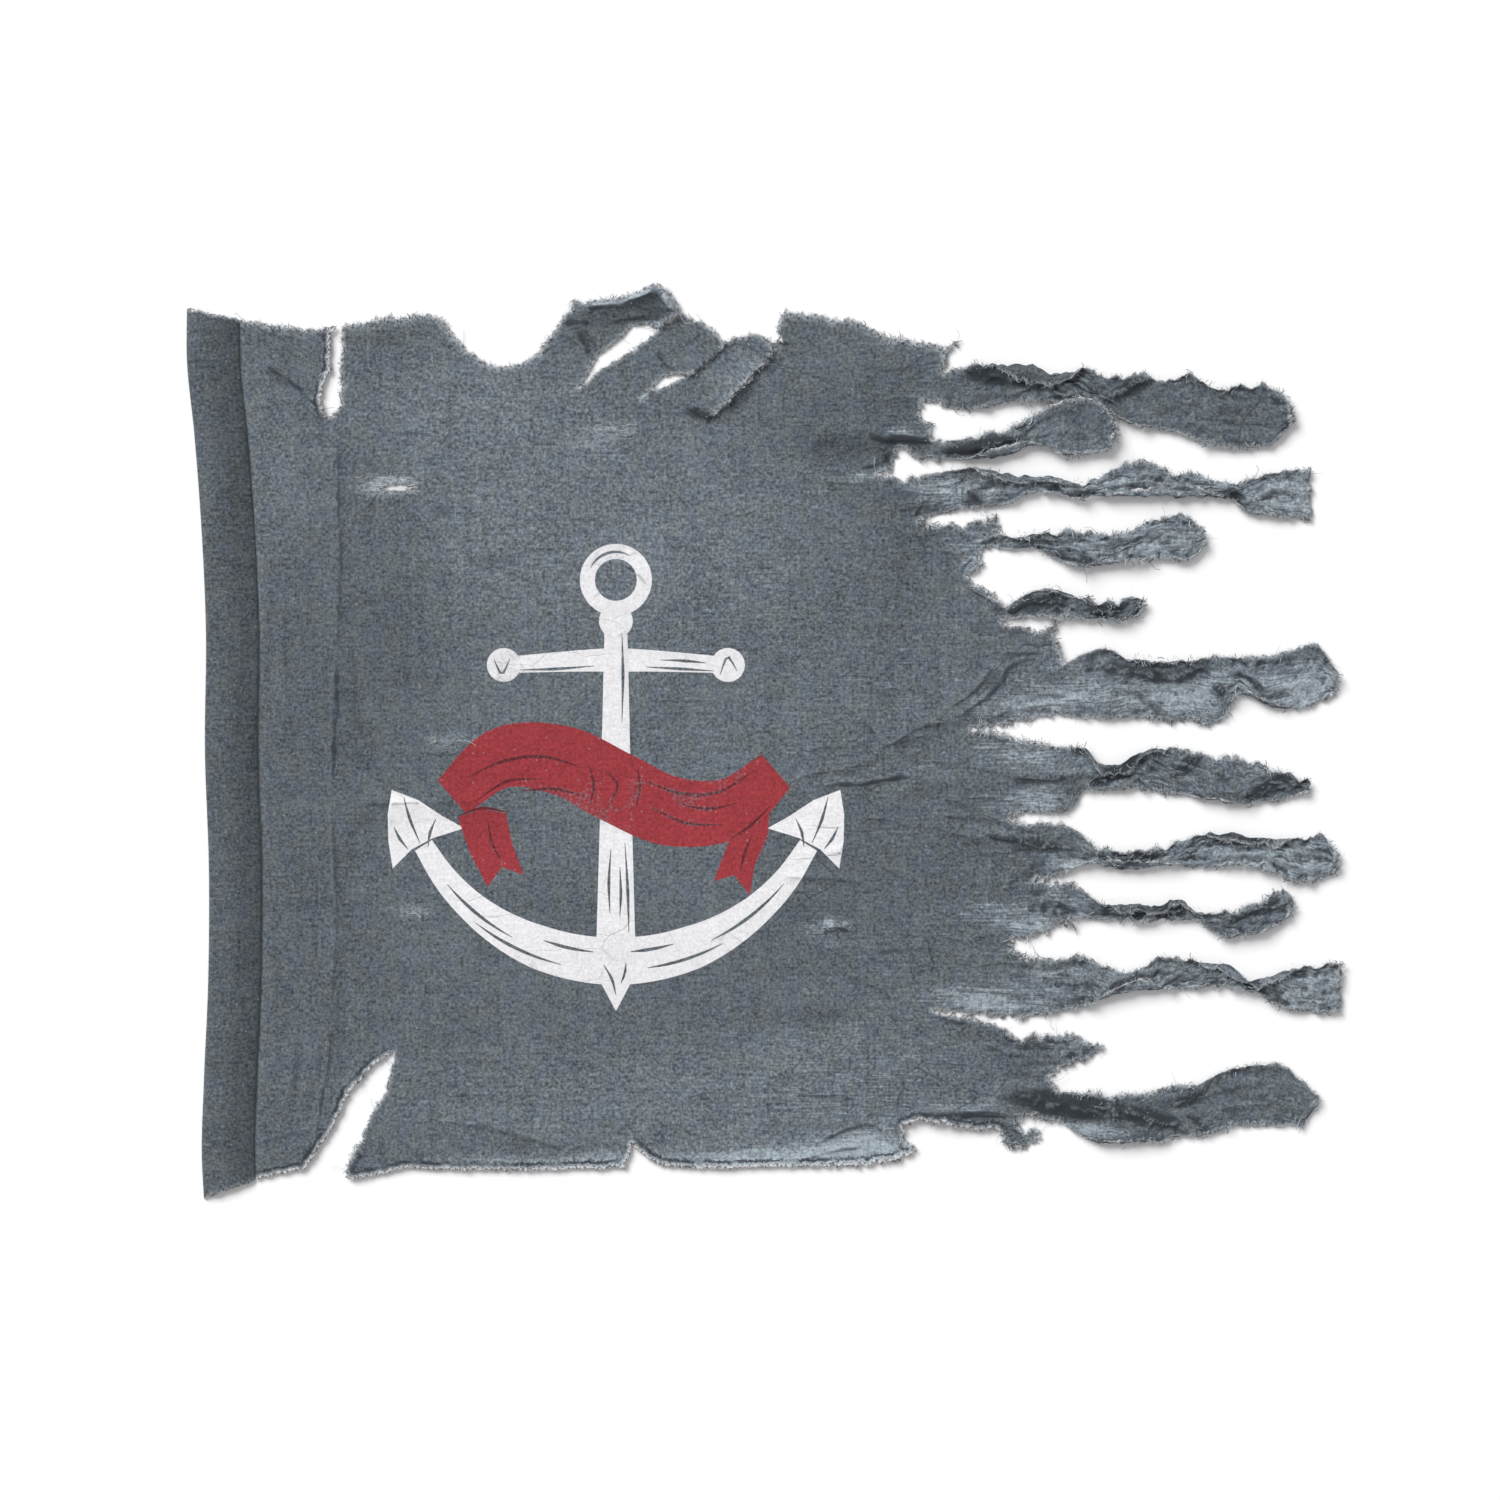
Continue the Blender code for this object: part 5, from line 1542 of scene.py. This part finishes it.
def threadFinish(name):
    # Cotton thread whose lightness differs from one thread to the next
    dark, pale = threadColours[name]
    material, shader = plainFinish(name)
    bench = Bench(material.node_tree)
    colour = bench.blend(bench.step(bench.field("tint"), 0.3, 0.7), dark, pale)
    bench.feed(shader.inputs["Base Color"], colour)
    shader.inputs["Roughness"].default_value = 0.95
    shader.inputs["Sheen Weight"].default_value = 0.2
    return material


# Frayed threads and stitches, made along lines by Geometry Nodes

fray = {
    "seamReach": 1.5,
    "flyFrom": 690,
    "clumpSize": 9,
    "shortest": 0.40,
    "rimReach": 9,
    "fuzzInset": 0.0030,
    "fuzzLift": 0.0004,
    "bridgePitch": 2.1,
    "bridgeHeight": 1.6,
    "lowest": 0.0003,
    "highest": 0.013,
}

stitching = {
    "margin": 3,
    "points": 300,
    "besideSeam": 2.4,
    "height": 1.9,
}

# Shapes of a thread of length 1: start, middle and end
threadPaths = [
    ((-0.25, 0, 0), (0.40, 0.32, 0.05), (0.95, -0.10, 0)),
    ((-0.25, 0, 0), (0.45, -0.38, 0.02), (0.85, 0.22, 0.03)),
    ((-0.30, 0, 0), (0.70, 0.10, 0.12), (0.55, 0.55, 0)),
    ((-0.20, 0, 0), (0.55, -0.08, 0.08), (0.70, -0.50, 0.02)),
    ((-0.30, 0.05, 0), (0.30, 0.05, 0.02), (1.00, 0.12, 0)),
]
stitchPath = [((-1.3, 0, 0), (0, 0, 0.7), (1.3, 0, 0))]

# Paths, radius as a share of the length, sides, steps
threadShapes = {
    "frayedThreads": (threadPaths, 0.070, 3, 3),
    "rimThreads": (threadPaths, 0.16, 3, 3),
    "looseThreads": (threadPaths, 0.012, 4, 12),
    "seamStitches": (stitchPath, 0.22, 6, 5),
}

# Lengths, spacings and scatter are in metres, yaw and pitch in degrees
threadDefaults = {
    "Spacing": 0.001, "Length": 0.005, "Least length": 0.3, "Yaw": 60.0, "Pitch": 12.0, "Scatter": 0.001,
}
# For each piece its own values in the same order, and its seed
threadKinds = {
    "frayed_body": (0.00105, 0.0050, 0.30, 75.0, 8.0, 0.0009, 3),
    "frayed_fly": (0.00105, 0.0050, 0.30, 75.0, 8.0, 0.0009, 3),
    "frayed_rims": (0.0014, 0.0024, 0.30, 80.0, 8.0, 0.0009, 12),
    "edge_fuzz": (0.0022, 0.0046, 0.30, 180.0, 8.0, 0.0034, 14),
    "loose_threads": (0.070, 0.020, 0.30, 60.0, 4.0, 0.0009, 20),
    "slit_threads": (0.0038, 0.011, 0.30, 16.0, 2.0, 0.0016, 31),
    "seam_stitches": (0.0033, 0.0010, 1.0, 4.0, 2.0, 0.0001, 5),
}


def threadTree(name):
    # Threads of a few shapes, set along a line and turned to its outward direction
    paths, radius, sides, steps = threadShapes[name]
    tree = bpy.data.node_groups.new(name, "GeometryNodeTree")

    def socket(label, kind, way="INPUT"):
        return tree.interface.new_socket(label, in_out=way, socket_type="NodeSocket" + kind)

    socket("Line", "Geometry")
    for label, value in threadDefaults.items():
        socket(label, "Float").default_value = value
    socket("Seed", "Int")
    socket("Finish", "Material")
    socket("Threads", "Geometry", "OUTPUT")
    bench = Bench(tree)
    given = bench.add("NodeGroupInput").outputs
    line = bench.add("GeometryNodeMeshToCurve", {"Mesh": given["Line"]})
    spacing = {"Curve": line.outputs[0], "Length": given["Spacing"]}
    spots = bench.add("GeometryNodeCurveToPoints", spacing, mode="LENGTH")

    def random(low, high, offset, kind="FLOAT"):
        made = bench.add("FunctionNodeRandomValue", data_type=kind)
        lowSocket = [s for s in made.inputs if s.name == "Min" and s.enabled][0]
        highSocket = [s for s in made.inputs if s.name == "Max" and s.enabled][0]
        bench.feed(lowSocket, low)
        bench.feed(highSocket, high)
        bench.feed(made.inputs["Seed"], bench.plus(given["Seed"], float(offset)))
        return [s for s in made.outputs if s.enabled][0]

    spread = bench.add("ShaderNodeVectorMath", operation="SCALE")
    bench.feed(spread.inputs[0], random((-1, -1, 0), (1, 1, 0.3), 1, "FLOAT_VECTOR"))
    bench.feed(spread.inputs["Scale"], given["Scatter"])
    moved = bench.add("GeometryNodeSetPosition", {"Geometry": spots.outputs[0], "Offset": spread.outputs[0]})

    kinds = bench.add("GeometryNodeJoinGeometry")
    profile = {"Resolution": sides, "Radius": radius}
    ring = bench.add("GeometryNodeCurvePrimitiveCircle", profile, mode="RADIUS")
    for start, middle, end in paths:
        bow = {"Resolution": steps, "Start": start, "Middle": middle, "End": end}
        bend = bench.add("GeometryNodeCurveQuadraticBezier", bow)
        skin = {"Curve": bend.outputs[0], "Profile Curve": ring.outputs[0], "Fill Caps": True}
        tube = bench.add("GeometryNodeCurveToMesh", skin)
        wrapped = bench.add("GeometryNodeGeometryToInstance", {"Geometry": tube.outputs[0]})
        tree.links.new(wrapped.outputs[0], kinds.inputs[0])

    outward = bench.add("GeometryNodeInputNamedAttribute", {"Name": "outward"}, data_type="FLOAT_VECTOR")
    aimed = bench.add("FunctionNodeAlignRotationToVector", {"Vector": outward.outputs[0]}, axis="X")
    radians = math.pi / 180
    yaw = bench.times(bench.times(random(-1.0, 1.0, 2), given["Yaw"]), radians)
    pitch = bench.times(bench.times(random(-1.0, 0.6, 3), given["Pitch"]), radians)
    roll = random(-0.5, 0.5, 4)
    turn = bench.add("ShaderNodeCombineXYZ")
    for socket, value in zip(turn.inputs, (roll, pitch, yaw)):
        bench.feed(socket, value)
    euler = bench.add("FunctionNodeEulerToRotation", {"Euler": turn.outputs[0]})
    turns = {"Rotation": aimed.outputs[0], "Rotate By": euler.outputs[0]}
    turned = bench.add("FunctionNodeRotateRotation", turns, rotation_space="LOCAL")
    long = bench.times(random(0.0, 1.0, 5), random(0.0, 1.0, 6))
    long = bench.plus(given["Least length"], long)
    local = bench.add("GeometryNodeInputNamedAttribute", {"Name": "fray"}, data_type="FLOAT")
    long = bench.times(bench.times(long, given["Length"]), local.outputs[0])
    size = bench.add("ShaderNodeCombineXYZ")
    for socket in size.inputs:
        bench.feed(socket, long)
    chosen = {"Points": moved.outputs[0], "Instance": kinds.outputs[0], "Pick Instance": True}
    grown = bench.add("GeometryNodeInstanceOnPoints", chosen)
    bench.feed(grown.inputs["Instance Index"], random(0, len(paths) - 1, 7, "INT"))
    bench.feed(grown.inputs["Rotation"], turned.outputs[0])
    bench.feed(grown.inputs["Scale"], size.outputs[0])
    tint = {"Geometry": grown.outputs[0], "Name": "tint"}
    store = {"data_type": "FLOAT", "domain": "INSTANCE"}
    tinted = bench.add("GeometryNodeStoreNamedAttribute", tint, **store)
    bench.feed(tinted.inputs["Value"], random(0.0, 1.0, 8))
    real = bench.add("GeometryNodeRealizeInstances", {"Geometry": tinted.outputs[0]})

    # Nothing sinks into the floor
    here = bench.add("GeometryNodeInputPosition")
    parts = bench.add("ShaderNodeSeparateXYZ")
    bench.feed(parts.inputs[0], here.outputs[0])
    back = bench.add("ShaderNodeCombineXYZ")
    bench.feed(back.inputs[0], parts.outputs[0])
    bench.feed(back.inputs[1], parts.outputs[1])
    floorGap = bench.line(parts.outputs[2], -0.01, fray["lowest"])
    lifted = bench.calc("MAXIMUM", parts.outputs[2], floorGap)
    bench.feed(back.inputs[2], bench.calc("MINIMUM", lifted, fray["highest"]))
    held = {"Geometry": real.outputs[0], "Position": back.outputs[0]}
    kept = bench.add("GeometryNodeSetPosition", held)
    coat = {"Geometry": kept.outputs[0], "Material": given["Finish"]}
    coated = bench.add("GeometryNodeSetMaterial", coat)
    finish = bench.add("NodeGroupOutput")
    tree.links.new(coated.outputs[0], finish.inputs[0])
    return tree


def lineObject(name, lines):
    # Lines of points with an outward direction and a thread length for each
    points, edges, outs, frays = [], [], [], []
    for places, outward, fray in lines:
        start = len(points)
        points += [tuple(p) for p in places]
        outs += [tuple(o) for o in outward]
        frays += list(fray)
        edges += [(start + i, start + i + 1) for i in range(len(places) - 1)]
    mesh = bpy.data.meshes.new(name)
    mesh.from_pydata(points, edges, [])
    outward = mesh.attributes.new("outward", "FLOAT_VECTOR", "POINT")
    outward.data.foreach_set("vector", np.array(outs, np.float32).ravel())
    storeField(mesh, "fray", frays)
    return placed(name, mesh)


def grow(name, lines, tree, finish):
    # The tree's result along the lines as a plain mesh
    values = dict(zip([*threadDefaults, "Seed"], threadKinds[name]))
    values["Finish"] = finish
    holder = lineObject(name + "_line", lines)
    modifier = holder.modifiers.new("threads", "NODES")
    modifier.node_group = tree
    for socket in tree.interface.items_tree:
        if socket.in_out == "INPUT" and socket.name in values:
            modifier[socket.identifier] = values[socket.name]
    graph = bpy.context.evaluated_depsgraph_get()
    mesh = bpy.data.meshes.new_from_object(holder.evaluated_get(graph), depsgraph=graph)
    mesh.name = name
    mesh.shade_smooth()
    bpy.data.objects.remove(holder)
    made = placed(name, mesh)
    print(name + ":", sum(len(face.vertices) - 2 for face in mesh.polygons), "triangles")
    return made


def boundaryLines(made):
    # Each open border of the mesh as points with their outward directions
    mesh = made.data
    points = vertexRows(mesh, "co")
    used = {}
    owner = {}
    for face in mesh.polygons:
        for key in face.edge_keys:
            used[key] = used.get(key, 0) + 1
            owner[key] = face.index
    ahead = {}
    for key, count in used.items():
        if count == 1:
            for a, b in (key, key[::-1]):
                ahead.setdefault(a, []).append((b, owner[key]))
    lines = []
    seen = set()
    for start in ahead:
        if start in seen:
            continue
        line, here = [start], start
        seen.add(start)
        while True:
            following = [b for b, _ in ahead[here] if b not in seen]
            if not following:
                break
            here = following[0]
            seen.add(here)
            line.append(here)
        if len(line) < 6:
            continue
        outs = []
        for i in line:
            faces = [f for _, f in ahead[i]]
            centre = np.mean([mesh.polygons[f].center for f in faces], axis=0)
            outs.append(points[i] - centre)
        outs = np.array(outs) * (1, 1, 0.1)
        for _ in range(3):
            outs[1:-1] = (outs[:-2] + outs[1:-1] + outs[2:]) / 3
        outs /= np.maximum(np.linalg.norm(outs, axis=1), 1e-9)[:, None]
        lines.append((np.array(line), points[line], outs))
    return lines


# The floor, light and camera

studio = {
    "floorSize": 12.0,
    "floorColour": (0.93, 0.93, 0.93),
    "floorRoughness": 0.9,
    "floorShine": 0.1,
    "frameSide": 1.5,
    "lens": 85.0,
    "sensor": 36.0,
    "farthest": 50.0,
    "viewMiddle": (550.0, 450.0),  # cutting place at the middle of the picture
    "sunStrength": 3.74,
    "sunSpread": math.radians(36),
    "sunDirection": (-0.75, 0.88, 0.78),  # towards the light
    "skyColour": (0.98, 0.98, 1.0),
    "skyStrength": 0.48,
}


def makeStudio():
    s = studio
    half = s["floorSize"] / 2
    mesh = bpy.data.meshes.new("floor")
    corners = [(-half, -half, 0), (half, -half, 0), (half, half, 0), (-half, half, 0)]
    mesh.from_pydata(corners, [], [(0, 1, 2, 3)])
    floor = placed("floor", mesh)
    finish, shader = plainFinish("floorPaper")
    shader.inputs["Base Color"].default_value = (*s["floorColour"], 1)
    shader.inputs["Roughness"].default_value = s["floorRoughness"]
    shader.inputs["Specular IOR Level"].default_value = s["floorShine"]
    mesh.materials.append(finish)

    lamp = bpy.data.lights.new("softLight", "SUN")
    lamp.angle = s["sunSpread"]
    lamp.energy = s["sunStrength"]
    light = placed("softLight", lamp)
    light.location = s["sunDirection"]
    light.rotation_euler = (-Vector(s["sunDirection"])).to_track_quat("-Z", "Y").to_euler()

    world = bpy.data.worlds.new("studio")
    world.use_nodes = True
    back = world.node_tree.nodes["Background"]
    back.inputs["Color"].default_value = (*s["skyColour"], 1)
    back.inputs["Strength"].default_value = s["skyStrength"]
    bpy.context.scene.world = world

    lens = bpy.data.cameras.new("camera")
    lens.lens = s["lens"]
    lens.sensor_width = s["sensor"]
    lens.clip_end = s["farthest"]
    camera = placed("camera", lens)
    place = toWorld([(*s["viewMiddle"], 0.0)])[0]
    camera.location = (place[0], place[1], s["frameSide"] * s["lens"] / lens.sensor_width)
    bpy.context.scene.camera = camera
    bpy.context.scene.view_settings.view_transform = "Standard"
    return floor


# Worn-through places that a few threads still bridge: across, down, length, rows
wornSlits = [
    (182, 180, 50, 4), (190, 188, 50, 5), (411, 128, 40, 3), (416, 136, 30, 2), (248, 441, 40, 4),
    (213, 612, 28, 3), (634, 623, 32, 4), (598, 745, 12, 2),
]

def makeThreads(flag, finish, rimFinish, fuzzFinish, slitFinish):
    f = fray
    tree = threadTree("frayedThreads")
    up = sheet["thickness"] * millimetre / 2
    rags, loose, fuzz = ([], [], []), [], []
    rng = np.random.default_rng(8)
    for ids, places, outs in boundaryLines(flag):
        cut = places / (millimetre, -millimetre, millimetre) + (*cutMiddle, 0)
        torn = np.abs(cut[:, 0] - seam(cut[:, 1])) > f["seamReach"]
        runs = np.split(np.arange(len(ids)), np.flatnonzero(np.diff(torn.astype(int))) + 1)
        for run in runs:
            if len(run) < 4 or not torn[run[0]]:
                continue
            atFly = cut[run, 0] > f["flyFrom"]
            clump = 0.5 + 0.5 * grain(cut[run, 0], cut[run, 1], f["clumpSize"], 61)
            length = f["shortest"] + 0.9 * clump ** 2 * (1 + 0.3 * atFly)
            row = places[run] + (0, 0, up)
            # Body, fly or curled rim
            kind = np.where(awayFrom(curledTree, cut[run, :2])[0] < f["rimReach"], 2, atFly)
            for part in np.split(np.arange(len(run)), np.flatnonzero(np.diff(kind)) + 1):
                if len(part) < 3:
                    continue
                rags[kind[part[0]]].append((row[part], outs[run][part], length[part]))
                if kind[part[0]] < 2:
                    loose.append((row[part], outs[run][part], 0.6 + 0.5 * rng.random(len(part))))
            inner = row - outs[run] * f["fuzzInset"] + (0, 0, f["fuzzLift"])
            fuzz.append((inner, outs[run], (0.3 + 1.2 * clump) * np.where(atFly, 1.0, 0.5)))
    threads = [grow("frayed_body", rags[0], tree, finish), grow("frayed_fly", rags[1], tree, finish)]
    threads.append(grow("frayed_rims", rags[2], threadTree("rimThreads"), rimFinish))
    threads.append(grow("edge_fuzz", fuzz, tree, fuzzFinish))
    longTree = threadTree("looseThreads")
    long = grow("loose_threads", loose, longTree, finish)
    bridges = []
    for across, down, length, rows in wornSlits:
        for row in range(rows):
            low = down + (row - rows / 2 + 0.5) * f["bridgePitch"]
            ends = (across - length / 2, across + length / 2)
            line = [(end, low, f["bridgeHeight"]) for end in ends]
            bridges.append((toWorld(line), [(1, 0, 0)] * 2, [1.0] * 2))
    return threads, [long, grow("slit_threads", bridges, longTree, slitFinish)]


def makeStitches(finish):
    # One row of stitches down the sleeve, beside the seam
    s = stitching
    downs = np.linspace(sleeveTop[1] + s["margin"], sleeveFoot[1] - s["margin"], s["points"])
    across = seam(downs) - sheet["seamGap"] - s["besideSeam"]
    places = toWorld(np.column_stack([across, downs, np.full(len(downs), s["height"])]))
    outs = np.gradient(places, axis=0)
    outs /= np.linalg.norm(outs, axis=1)[:, None]
    lines = [(places, outs, np.ones(len(places)))]
    return grow("seam_stitches", lines, threadTree("seamStitches"), finish)


def main():
    cottonCloth = cottonFinish("greyCotton", 1.0)
    sleeveCloth = cottonFinish("sleeveCotton", 0.76)
    *flagThreads, seamThread = [threadFinish(name) for name in threadColours]
    floor = makeStudio()
    flag = makeSheet(cottonCloth)
    tube = makeSleeve(sleeveCloth)
    threads, loose = makeThreads(flag, *flagThreads)
    stitches = makeStitches(seamThread)

    for piece in (flag, tube, *threads, *loose, stitches):
        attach(piece, "root")
    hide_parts("flag_cloth")
    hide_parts("hoist_sleeve")
    for piece in (*threads, *loose):
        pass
    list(threads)
    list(loose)


main()
